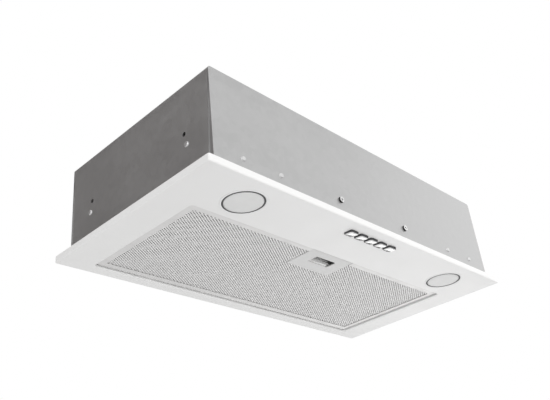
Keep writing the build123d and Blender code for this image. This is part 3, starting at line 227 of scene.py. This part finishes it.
# Frosted lens: fine pits that scatter the light
f = finish("frosted_lens", (0.8, 0.8, 0.795), 0.42)
f.set(Transmission_Weight=0.12, IOR=1.49)
f.vary(f.noise(70.0, 4.0), 0.02)
f.bump(f.noise(1500.0, 2.0), 0.12 * MM, 0.6)

f = finish("circuit_board", (0.84, 0.85, 0.83), 0.35)
f.vary(f.noise(160.0, 4.0), 0.05)
f.bump(f.cells(900.0), 0.04 * MM, 0.3)

f = finish("lamp_can_aluminium", (0.68, 0.68, 0.69), 0.38, 1.0)
f.vary(f.noise(60.0, 4.0, (1.0, 1.0, 12.0)), 0.06)
f.polish(f.noise(300.0), 0.08)

f = finish("key_chrome", (0.7, 0.7, 0.7), 0.14, 1.0)
f.vary(f.noise(120.0, 4.0), 0.02)
f.polish(f.noise(900.0, 4.0), 0.03)

f = finish("switch_plastic", (0.035, 0.035, 0.038), 0.45)
f.vary(f.noise(90.0), 0.15)
f.bump(f.noise(2200.0), 0.03 * MM, 0.4)

f = finish("spring_steel", (0.5, 0.5, 0.51), 0.3, 1.0)
f.vary(f.noise(800.0), 0.12)

f = finish("filter_aluminium", (0.74, 0.735, 0.73), 0.52, 1.0)
f.vary(f.noise(30.0, 4.0, (0.2, 1.0, 1.0)), 0.035)
f.polish(f.noise(600.0, 3.0, (0.1, 1.0, 1.0)), 0.07)
f.bump(f.noise(900.0, 2.0, (0.1, 1.0, 1.0)), 0.02 * MM, 0.3)

# Mesh strands: bright in front and at the back, with painted shade on the core between
f = finish("mesh_aluminium", (0.93, 0.925, 0.92), 0.5, 0.3)
mesh_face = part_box("filter_mesh_front")[0].z
mesh_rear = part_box("filter_mesh_back")[0].z
core_shade = 0.9
height = f.axes()["Z"]
behind_front = f.spread(height, 0.0, core_shade, mesh_face + 0.9 * MM, mesh_face + 1.8 * MM)
before_back = f.spread(height, core_shade, 0.0, mesh_rear - 1.2 * MM, mesh_rear - 0.4 * MM)
# painted shade: the core layers between the front and back mesh are darkened
painted_core_shade = f.mottled(f.math("MINIMUM", behind_front, before_back), 0.1, 220.0)
f.tint(painted_core_shade, (0.95, 0.943, 0.938), (0.24, 0.238, 0.236), 0.0, 1.0)
f.polish(f.noise(900.0), 0.08)

# Latch plastic: pale outside, with a painted highlight on the tab and painted shade in the finger
# recess, most at its right
f = finish("latch_plastic", (0.64, 0.637, 0.63), 0.42)
plate_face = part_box("latch_plate")[0].z
recess_left, recess_right = -17 * MM, 12 * MM
tab_edge, tab_blend = -32 * MM, 0.8 * MM
axes = f.axes()
inside = f.spread(axes["Z"], 0.0, 1.0, plate_face + 0.3 * MM, plate_face + 2.2 * MM)
to_right = f.spread(axes["X"], 0.4, 0.9, recess_left, recess_right)
before_tab = f.spread(axes["Y"], 1.0, -0.75, tab_edge, tab_edge + tab_blend)
# painted shading: the finger recess is darkened, most at its right, and the tab is lightened
painted_shading = f.math("MULTIPLY", inside, f.math("MULTIPLY", to_right, before_tab))
f.tint(f.mottled(painted_shading, 0.03, 40.0, 4.0), (0.95, 0.947, 0.94), (0.03, 0.03, 0.03), -0.45, 1.0)
f.bump(f.noise(2600.0, 2.0), 0.03 * MM, 0.5)

f = finish("fan_housing_plastic", (0.115, 0.118, 0.122), 0.5)
f.vary(f.noise(25.0, 4.0), 0.1)
f.bump(f.noise(1300.0, 2.0), 0.05 * MM, 0.5)

f = finish("impeller_plastic", (0.24, 0.245, 0.25), 0.45)
f.vary(f.noise(30.0, 4.0), 0.08)
f.bump(f.noise(1600.0, 2.0), 0.03 * MM, 0.4)

f = finish("shaft_steel", (0.6, 0.6, 0.61), 0.22, 1.0)
f.vary(f.noise(400.0, 3.0, (1.0, 1.0, 0.1)), 0.06)
f.polish(f.noise(1500.0), 0.06)

f = finish("lamination_steel", (0.22, 0.2, 0.19), 0.45, 0.8)
f.tint(f.noise(900.0, 1.0, (0.05, 0.05, 1.0)), (0.16, 0.15, 0.15), (0.3, 0.27, 0.25))
f.bump(f.noise(1500.0, 1.0, (0.05, 0.05, 1.0)), 0.1 * MM, 0.6)

f = finish("bush_bronze", (0.55, 0.36, 0.16), 0.35, 1.0)
f.vary(f.noise(1200.0), 0.12)

f = finish("black_rubber", (0.06, 0.06, 0.062), 0.6)
f.vary(f.noise(150.0, 4.0), 0.2)
f.bump(f.noise(1800.0), 0.04 * MM, 0.5)

f = finish("collar_plastic", (0.03, 0.03, 0.032), 0.42)
f.vary(f.noise(30.0, 4.0), 0.15)
f.bump(f.noise(1700.0, 2.0), 0.05 * MM, 0.5)

f = finish("flap_plastic", (0.055, 0.055, 0.058), 0.4)
f.vary(f.noise(30.0, 4.0), 0.12)
f.bump(f.noise(1700.0, 2.0), 0.04 * MM, 0.5)

f = finish("box_plastic", (0.62, 0.62, 0.6), 0.45)
f.vary(f.noise(20.0, 4.0), 0.03)
f.bump(f.noise(1500.0, 2.0), 0.05 * MM, 0.5)

f = finish("terminal_plastic", (0.7, 0.69, 0.62), 0.4)
f.vary(f.noise(80.0), 0.04)

f = finish("capacitor_case", (0.66, 0.66, 0.66), 0.3, 1.0)
f.vary(f.noise(200.0, 3.0, (1.0, 0.1, 1.0)), 0.05)

f = finish("driver_case", (0.78, 0.78, 0.76), 0.3)
f.vary(f.noise(60.0), 0.02)
f.bump(f.noise(1500.0), 0.03 * MM, 0.4)

f = finish("lead_sheath", (0.1, 0.1, 0.105), 0.5)
f.vary(f.noise(120.0), 0.12)
f.bump(f.noise(1300.0), 0.04 * MM, 0.4)

for sub in record["subparts"]:
    made = nodes[sub["node"]]
    material = finishes[sub["material_slot"]].material
    if made.material_slots:
        for holder in made.material_slots:
            holder.material = material
    else:
        made.data.materials.append(material)

# Mesh helpers
merge_distance = 1e-7
stray_faces = 40
turned_segments = 96
corner_steps = 8


def drop_strays(work):
    """Removes small groups of faces, which a cut leaves apart from the rest of a mesh."""
    unseen = set(work.faces)
    strays = []
    while unseen:
        island = [unseen.pop()]
        for face in island:
            for edge in face.edges:
                for near in edge.link_faces:
                    if near in unseen:
                        unseen.remove(near)
                        island.append(near)
        if len(island) < stray_faces:
            strays += island
    bmesh.ops.delete(work, geom=strays, context="FACES")


def piece(name, points, faces, slot, body, stands_for, smooth=False):
    """A mesh piece in place, finished, riding on its body and standing for CAD nodes."""
    mesh = bpy.data.meshes.new(name)
    mesh.from_pydata(points, [], faces)
    work = bmesh.new()
    work.from_mesh(mesh)
    bmesh.ops.remove_doubles(work, verts=work.verts, dist=merge_distance)
    drop_strays(work)
    work.to_mesh(mesh)
    work.free()
    mesh.validate()
    mesh.materials.append(finishes[slot].material)
    if smooth:
        mesh.shade_smooth()
    made = bpy.data.objects.new(name, mesh)
    bpy.context.scene.collection.objects.link(made)
    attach(made, body)
    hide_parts(*stands_for)
    return made


def loft(rings):
    """Points and faces of a closed skin over rings of equal counts, its two ends capped."""
    count = len(rings[0])
    points = [point for ring in rings for point in ring]
    faces = []
    for j in range(len(rings) - 1):
        for i in range(count):
            n = (i + 1) % count
            faces.append((j * count + i, j * count + n, (j + 1) * count + n, (j + 1) * count + i))
    faces.append(tuple(reversed(range(count))))
    faces.append(tuple(range((len(rings) - 1) * count, len(rings) * count)))
    return points, faces


def turned(profile, centre):
    """Points and faces of a closed profile of (radius, height) in mm turned about an upright axis."""
    points, faces = [], []
    count = len(profile)
    for k in range(turned_segments):
        angle = 2 * math.pi * k / turned_segments
        for radius, height in profile:
            across, along = radius * MM * math.cos(angle), radius * MM * math.sin(angle)
            points.append((centre[0] + across, centre[1] + along, centre[2] + height * MM))
    for k in range(turned_segments):
        n = (k + 1) % turned_segments
        for i in range(count):
            m = (i + 1) % count
            faces.append((k * count + i, n * count + i, n * count + m, k * count + m))
    return points, faces


def rounded_rectangle(centre, half_x, half_y, corner, height):
    """A level ring of points round a rectangle with rounded corners."""
    ring = []
    for quarter, (sx, sy) in enumerate(((1, 1), (-1, 1), (-1, -1), (1, -1))):
        for i in range(corner_steps + 1):
            angle = math.pi / 2 * (quarter + i / corner_steps)
            ring.append(
                (
                    centre[0] + sx * (half_x - corner) + corner * math.cos(angle),
                    centre[1] + sy * (half_y - corner) + corner * math.sin(angle),
                    height,
                )
            )
    return ring


# Expanded mesh: staggered diamond openings, each strand tilted like a louvre
cell_pitch = (5.24 * MM, 3.33 * MM)
strand = 1.05 * MM
sheet = 0.45 * MM
strand_tilt = 0.16 * MM


def expanded_mesh(areas, low, centre, coarse=1.0):
    """Points and faces of the mesh over some rectangles, each cut off square at its own edges."""
    half_x, half_y = coarse * cell_pitch[0] / 2, coarse * cell_pitch[1] / 2
    spacing = 2 * half_x * half_y / math.hypot(half_x, half_y)
    share = 1 - strand / spacing
    hole = (half_x * share, half_y * share)
    joined = bmesh.new()
    for x0, x1, y0, y1 in areas:
        points, faces, known = [], [], {}

        def at(i, j):
            if (i, j) not in known:
                known[i, j] = len(points)
                x, y = centre[0] + i * half_x, centre[1] + j * half_y
                points.extend((x, y, low + strand_tilt + rise) for rise in (0.0, sheet))
            return known[i, j]

        first_i = math.floor((x0 - centre[0]) / half_x) - 1
        last_i = math.ceil((x1 - centre[0]) / half_x) + 1
        first_j = math.floor((y0 - centre[1]) / half_y) - 1
        last_j = math.ceil((y1 - centre[1]) / half_y) + 1
        for i in range(first_i, last_i + 1):
            for j in range(first_j, last_j + 1):
                if (i + j) % 2:
                    continue
                outer = [at(i + 1, j), at(i, j + 1), at(i - 1, j), at(i, j - 1)]
                inner = []
                for dx, dy, lift in ((1, 0, 0), (0, 1, -1), (-1, 0, 0), (0, -1, 1)):
                    inner.append(len(points))
                    x = centre[0] + i * half_x + dx * hole[0]
                    y = centre[1] + j * half_y + dy * hole[1]
                    z = low + strand_tilt * (1 + lift)
                    points.extend((x, y, z + rise) for rise in (0.0, sheet))
                for k in range(4):
                    n = (k + 1) % 4
                    faces.append((outer[n], outer[k], inner[k], inner[n]))
                    faces.append((outer[k] + 1, outer[n] + 1, inner[n] + 1, inner[k] + 1))
                    faces.append((inner[n], inner[k], inner[k] + 1, inner[n] + 1))
        mesh = bpy.data.meshes.new("lattice")
        mesh.from_pydata(points, [], faces)
        work = bmesh.new()
        work.from_mesh(mesh)
        bpy.data.meshes.remove(mesh)
        for place, normal in (
            ((x0, 0, 0), (-1, 0, 0)),
            ((x1, 0, 0), (1, 0, 0)),
            ((0, y0, 0), (0, -1, 0)),
            ((0, y1, 0), (0, 1, 0)),
        ):
            bmesh.ops.bisect_plane(
                work,
                geom=work.verts[:] + work.edges[:] + work.faces[:],
                dist=merge_distance,
                plane_co=place,
                plane_no=normal,
                clear_outer=True,
            )
        mesh = bpy.data.meshes.new("lattice")
        work.to_mesh(mesh)
        work.free()
        joined.from_mesh(mesh)
        bpy.data.meshes.remove(mesh)
    joined.verts.index_update()
    points = [v.co.copy() for v in joined.verts]
    faces = [[v.index for v in face.verts] for face in joined.faces]
    joined.free()
    return points, faces


mesh_low, mesh_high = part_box("filter_mesh_front")
back_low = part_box("filter_mesh_back")[0]
core_low, core_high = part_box("filter_core")
plate_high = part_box("latch_plate")[1]
plate_gap = 0.3 * MM
latch_side = plate_high.x + plate_gap
latch_rear = plate_high.y + plate_gap


def around_latch(low, high):
    """The filter's area as three rectangles that leave out the latch plate."""
    return [
        (low.x, high.x, latch_rear, high.y),
        (low.x, -latch_side, low.y, latch_rear),
        (latch_side, high.x, low.y, latch_rear),
    ]


mesh_areas = around_latch(mesh_low, mesh_high)
core_areas = around_latch(core_low, core_high)
mesh_centre = ((mesh_low.x + mesh_high.x) / 2, (mesh_low.y + mesh_high.y) / 2)
front_sink = 0.05 * MM
for name, low, node in (
    ("mesh_front", mesh_low.z + front_sink, "filter_mesh_front"),
    ("mesh_back", back_low.z, "filter_mesh_back"),
):
    points, faces = expanded_mesh(mesh_areas, low, mesh_centre)
    piece(name, points, faces, "mesh_aluminium", "filter", [node])

# Filter core: layers of coarse expanded mesh, wavy and shifted against each other
core_layers = 2
core_coarse = 2.0
core_wave = 22 * MM
wave_wander = 0.37
wander_scale = 30.0
wander_step = 5.0
core_swing = (core_high.z - core_low.z - 2 * sheet) / (2 * core_layers)
core_points, core_faces = [], []
for layer in range(core_layers):
    middle = core_low.z + sheet / 2 + core_swing * (2 * layer + 1)
    shifted = (mesh_centre[0] + layer * cell_pitch[0] / 2, mesh_centre[1] + layer * cell_pitch[1] / 3)
    points, faces = expanded_mesh(core_areas, middle - strand_tilt, shifted, core_coarse)
    for i, (x, y, z) in enumerate(points):
        wander = wave_wander * noise.noise((x * wander_scale, y * wander_scale, layer * wander_step))
        phase = 2 * math.pi * (x / core_wave + wander)
        lift = (core_swing - sheet / 2 - strand_tilt) * math.sin(phase + layer * math.pi / 2)
        points[i] = (x, y, z + lift)
    core_faces += [[i + len(core_points) for i in face] for face in faces]
    core_points += points
piece("core_layers", core_points, core_faces, "mesh_aluminium", "filter", ["filter_core"])

# Push keys: a dark skirt and stem, and a chrome cap with a pillowed face
key_low, key_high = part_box("button_1")
key_half = ((key_high.x - key_low.x) / 2, (key_high.y - key_low.y) / 2)
face_lift = 1.3 * MM
cap_shift = 0.5 * MM
stem_half = (4 * MM, 2.9 * MM)
foot_half = (5.2 * MM, 3 * MM)
foot_height = 3 * MM
stem_corner = 0.6 * MM

# Rings round a key: inset from its outline, corner radius and height above its lowest point, in mm
skirt_height = 4.6
skirt_face = ((0.8, 2.0, 0.75), (0.35, 2.3, 0.75), (0.1, 2.5, 1.1))
skirt_side = ((0.0, 2.6, 1.8), (0.0, 2.6, skirt_height))
cap_face = (
    (4.8, 0.8, 0.0),
    (3.6, 1.2, 0.06),
    (2.6, 1.5, 0.17),
    (1.8, 1.7, 0.33),
    (1.0, 1.9, 0.58),
    (0.6, 2.4, 0.76),
    (0.36, 2.6, 0.88),
    (0.4, 2.6, 2.9),
)


def key_rings(table, centre, face):
    """The rings of a table round a key whose lowest point is at the height of its face."""
    rings = []
    for inset, corner, rise in table:
        half = [side - inset * MM for side in key_half]
        rings.append(rounded_rectangle(centre, *half, corner * MM, face + rise * MM))
    return rings


def lifted(ring, front):
    """A ring of a key's face, raised more and more from its front to its rear."""
    depth = 2 * key_half[1]
    return [(x, y, z + face_lift * ((y - front) / depth) ** 2) for x, y, z in ring]


for number in range(1, 6):
    low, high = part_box(f"button_{number}")
    centre = ((low.x + high.x) / 2, (low.y + high.y) / 2)
    skirt = [lifted(ring, low.y) for ring in key_rings(skirt_face, centre, low.z)]
    skirt += key_rings(skirt_side, centre, low.z)
    for half, height in (
        (stem_half, low.z + skirt_height * MM),
        (stem_half, high.z - foot_height),
        (foot_half, high.z - foot_height),
        (foot_half, high.z),
    ):
        skirt.append(rounded_rectangle(centre, *half, stem_corner, height))
    points, faces = loft(skirt)
    piece(f"key_{number}_skirt", points, faces, "switch_plastic", f"key_{number}", [f"button_{number}"])
    shifted = (centre[0] + cap_shift, centre[1] + cap_shift)
    points, faces = loft([lifted(ring, low.y) for ring in key_rings(cap_face, shifted, low.z)])
    stands_for = [f"button_{number}"]
    piece(f"key_{number}_cap", points, faces, "key_chrome", f"key_{number}", stands_for, smooth=True)

# Springs: coils with closed ends, pressed together between the part that moves and the one that stays
coil_turns = 7
turn_steps = 28
closed_share = 0.16
wire_sides = 10


def coil(name, start, end, radius, wire, body, node):
    """A spring from its moving end to its fixed end."""
    axis = (Vector(end) - Vector(start)).normalized()
    side = axis.orthogonal().normalized()
    other = axis.cross(side)
    length = (Vector(end) - Vector(start)).length
    room = length - 2 * wire
    steps = coil_turns * turn_steps
    line = []
    for i in range(steps + 1):
        share = i / steps
        closed = 2 * wire / room
        if share < closed_share:
            along = closed * share / closed_share
        elif share > 1 - closed_share:
            along = 1 - closed * (1 - share) / closed_share
        else:
            along = closed + (1 - 2 * closed) * (share - closed_share) / (1 - 2 * closed_share)
        angle = 2 * math.pi * coil_turns * share
        out = side * math.cos(angle) + other * math.sin(angle)
        line.append((Vector(start) + axis * (wire + room * along) + out * radius, out))
    rings = []
    for i, (place, out) in enumerate(line):
        ahead = line[min(i + 1, steps)][0] - line[max(i - 1, 0)][0]
        up = ahead.normalized().cross(out)
        rings.append([])
        for k in range(wire_sides):
            turn = 2 * math.pi * k / wire_sides
            rings[-1].append(tuple(place + wire * (out * math.cos(turn) + up * math.sin(turn))))
    points, faces = loft(rings)
    made = piece(name, points, faces, "spring_steel", body, [node], smooth=True)
    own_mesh(made)


radius, wire = 2.2 * MM, 0.3 * MM
low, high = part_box("button_springs")
for number in range(1, 6):
    key_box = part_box(f"button_{number}")
    x, y = (key_box[0].x + key_box[1].x) / 2, (low.y + high.y) / 2
    start, end = (x, y, low.z), (x, y, high.z)
    coil(f"key_spring_{number}", start, end, radius, wire, "hood", "button_springs")

radius, wire = 1.9 * MM, 0.25 * MM
low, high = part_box("latch_spring")
x, z = (low.x + high.x) / 2, (low.z + high.z) / 2
start, end = (x, low.y, z), (x, high.y, z)
coil("latch_coil", start, end, radius, wire, "filter", "latch_spring")

# Lamps: a bezel with a rolled edge, a black rim round the lens as painted shade for the shadow gap
# there, and a nearly flush frosted lens.
# The profiles are points of (radius, height above the CAD ring's lowest point) in mm.
bezel_inner = 22.85
bezel_profile = [
    (23.2, 1.0), (23.2, 3.6), (bezel_inner, 3.6), (bezel_inner, 0.95), (22.95, 0.8), (23.2, 0.64),
    (24.0, 0.42), (24.5, 0.45), (24.85, 0.6), (25.0, 0.82), (25.0, 1.0),
]
dark_rim_profile = [
    (21.0, 3.2), (21.1, 1.0), (21.4, 0.84), (22.0, 0.8), (22.7, 0.88), (bezel_inner, 1.0),
    (bezel_inner, 3.2),
]
lens_profile = [
    (0.0, 0.6), (8.0, 0.62), (13.0, 0.67), (17.0, 0.78), (19.4, 0.92), (20.9, 1.1), (20.9, 2.6),
    (0.0, 2.6),
]
lens_play = (0.4 * MM, 0.4 * MM)
moved_with_lens = 21.3


def seated(points, centre):
    """Lamp points shifted to where the lens rests in its bezel, less and less out to the bezel."""
    outer, inner = bezel_inner * MM, moved_with_lens * MM
    shifted = []
    for x, y, z in points:
        radius = math.hypot(x - centre[0], y - centre[1])
        share = min(1.0, max(0.0, (outer - radius) / (outer - inner)))
        shifted.append((x + lens_play[0] * share, y + lens_play[1] * share, z))
    return shifted


for side in ("left", "right"):
    low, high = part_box(f"lamp_ring_{side}")
    centre = ((low.x + high.x) / 2, (low.y + high.y) / 2, low.z)
    points, faces = turned(bezel_profile, centre)
    piece(f"bezel_{side}", points, faces, "lamp_ring_metal", "hood", [f"lamp_ring_{side}"], smooth=True)
    for name, profile, slot, node in (
        # the black rim round the lens is painted shade standing for the shadow gap between lens and
        # bezel
        (f"lamp_dark_rim_{side}", dark_rim_profile, "black_rubber", f"lamp_ring_{side}"),
        (f"lens_{side}", lens_profile, "frosted_lens", f"lamp_lens_{side}"),
    ):
        points, faces = turned(profile, centre)
        piece(name, seated(points, centre), faces, slot, "hood", [node], smooth=True)

# Floor, cards and lights
white = (1.0, 1.0, 1.0)
ambient_light = 0.79
floor_size, floor_height = 60.0, -2.3
floor_white = 0.8
lights_target = (0, 0, 0.03)


def aim(made, place, target, front):
    """Puts a thing in its place with one of its axes towards a point."""
    made.location = place
    made.rotation_mode = "QUATERNION"
    made.rotation_quaternion = (Vector(target) - Vector(place)).to_track_quat(front, "Y")


def plane(name, size, place, facing, material):
    """A square staging surface that faces a point."""
    half = size / 2
    corners = [(-half, -half, 0), (half, -half, 0), (half, half, 0), (-half, half, 0)]
    mesh = bpy.data.meshes.new(name)
    mesh.from_pydata(corners, [], [(0, 1, 2, 3)])
    mesh.materials.append(material)
    made = bpy.data.objects.new(name, mesh)
    bpy.context.scene.collection.objects.link(made)
    aim(made, place, facing, "Z")
    return made


def background_share(tree):
    """One for rays that see the background, also in a gloss or through glass, nought for light."""
    path = tree.nodes.new("ShaderNodeLightPath")
    share = path.outputs["Is Camera Ray"]
    for ray in ("Is Glossy Ray", "Is Transmission Ray"):
        either = tree.nodes.new("ShaderNodeMath")
        either.operation = "MAXIMUM"
        tree.links.new(share, either.inputs[0])
        tree.links.new(path.outputs[ray], either.inputs[1])
        share = either.outputs["Value"]
    return share


def mixed(tree, share, first, second):
    """One shader turning into another by a share."""
    mixer = tree.nodes.new("ShaderNodeMixShader")
    tree.links.new(share, mixer.inputs["Fac"])
    tree.links.new(first, mixer.inputs[1])
    tree.links.new(second, mixer.inputs[2])
    return mixer.outputs["Shader"]


world = bpy.data.worlds.new("studio")
bpy.context.scene.world = world
world.use_nodes = True
tree = world.node_tree
tree.nodes.clear()
glows = []
for strength in (ambient_light, 1.0):
    glow = tree.nodes.new("ShaderNodeBackground")
    glow.inputs["Color"].default_value = (*white, 1.0)
    glow.inputs["Strength"].default_value = strength
    glows.append(glow.outputs["Background"])
output = tree.nodes.new("ShaderNodeOutputWorld")
look = mixed(tree, background_share(tree), *glows)
tree.links.new(look, output.inputs["Surface"])

floor_finish = Finish("studio_floor", (0.86, 0.86, 0.86), 0.7)
floor_finish.vary(floor_finish.noise(0.6, 2.0), 0.01)
tree = floor_finish.tree
glow = tree.nodes.new("ShaderNodeEmission")
glow.inputs["Color"].default_value = (*white, 1.0)
glow.inputs["Strength"].default_value = 1.0
share = floor_finish.math("MULTIPLY", background_share(tree), floor_white)
look = mixed(tree, share, floor_finish.shader.outputs["BSDF"], glow.outputs["Emission"])
tree.links.new(look, tree.nodes["Material Output"].inputs["Surface"])
plane("floor", floor_size, (0, 0, floor_height), (0, 0, 1), floor_finish.material)


def card(name, size, place, facing, low, high, color=white):
    """A grey card that only reflections see, as bright as low and high at its lower and upper edge."""
    material = bpy.data.materials.new(name)
    material.use_nodes = True
    tree = material.node_tree
    tree.nodes.clear()
    coordinates = tree.nodes.new("ShaderNodeTexCoord")
    split = tree.nodes.new("ShaderNodeSeparateXYZ")
    grade = tree.nodes.new("ShaderNodeMapRange")
    grade.inputs["From Min"].default_value = -size / 2
    grade.inputs["From Max"].default_value = size / 2
    grade.inputs["To Min"].default_value = low
    grade.inputs["To Max"].default_value = high
    emission = tree.nodes.new("ShaderNodeEmission")
    emission.inputs["Color"].default_value = (*color, 1.0)
    output = tree.nodes.new("ShaderNodeOutputMaterial")
    tree.links.new(coordinates.outputs["Object"], split.inputs["Vector"])
    tree.links.new(split.outputs["Y"], grade.inputs["Value"])
    tree.links.new(grade.outputs["Result"], emission.inputs["Strength"])
    tree.links.new(emission.outputs["Emission"], output.inputs["Surface"])
    made = plane(name, size, place, facing, material)
    made.visible_camera = False
    made.visible_diffuse = False
    made.visible_shadow = False
    made.visible_transmission = False


card("card_left_back", 2.6, (-1.6, 1.45, 1.2), (0, 0, 0.05), 0.18, 0.36, (1.0, 0.945, 0.93))
card("card_back", 1.1, (1.45, 1.5, 0.06), (0, 0, 0), 0.2, 0.2)
card("card_rear", 0.55, (1.4, 1.29, -0.33), (0, 0, 0), 0.35, 0.35)


def area_light(name, place, size, power):
    """A square light towards the hood, size in metres and power in watts."""
    data = bpy.data.lights.new(name, "AREA")
    data.shape = "SQUARE"
    data.size = size
    data.energy = power
    made = bpy.data.objects.new(name, data)
    bpy.context.scene.collection.objects.link(made)
    aim(made, place, lights_target, "-Z")
    made.visible_camera = False


area_light("key_light", (-0.4, -2.75, 0.1), 2.8, 37.0)
area_light("fill_light", (-2.7, -0.6, 0.1), 2.8, 9.5)
area_light("side_light", (1.95, -0.7, 0.75), 1.3, 3.0)
area_light("rear_light", (1.75, 1.1, -0.75), 1.1, 3.2)
area_light("top_light", (0.5, 1.7, 2.7), 3.6, 12.0)

bpy.context.scene.view_settings.view_transform = "Standard"
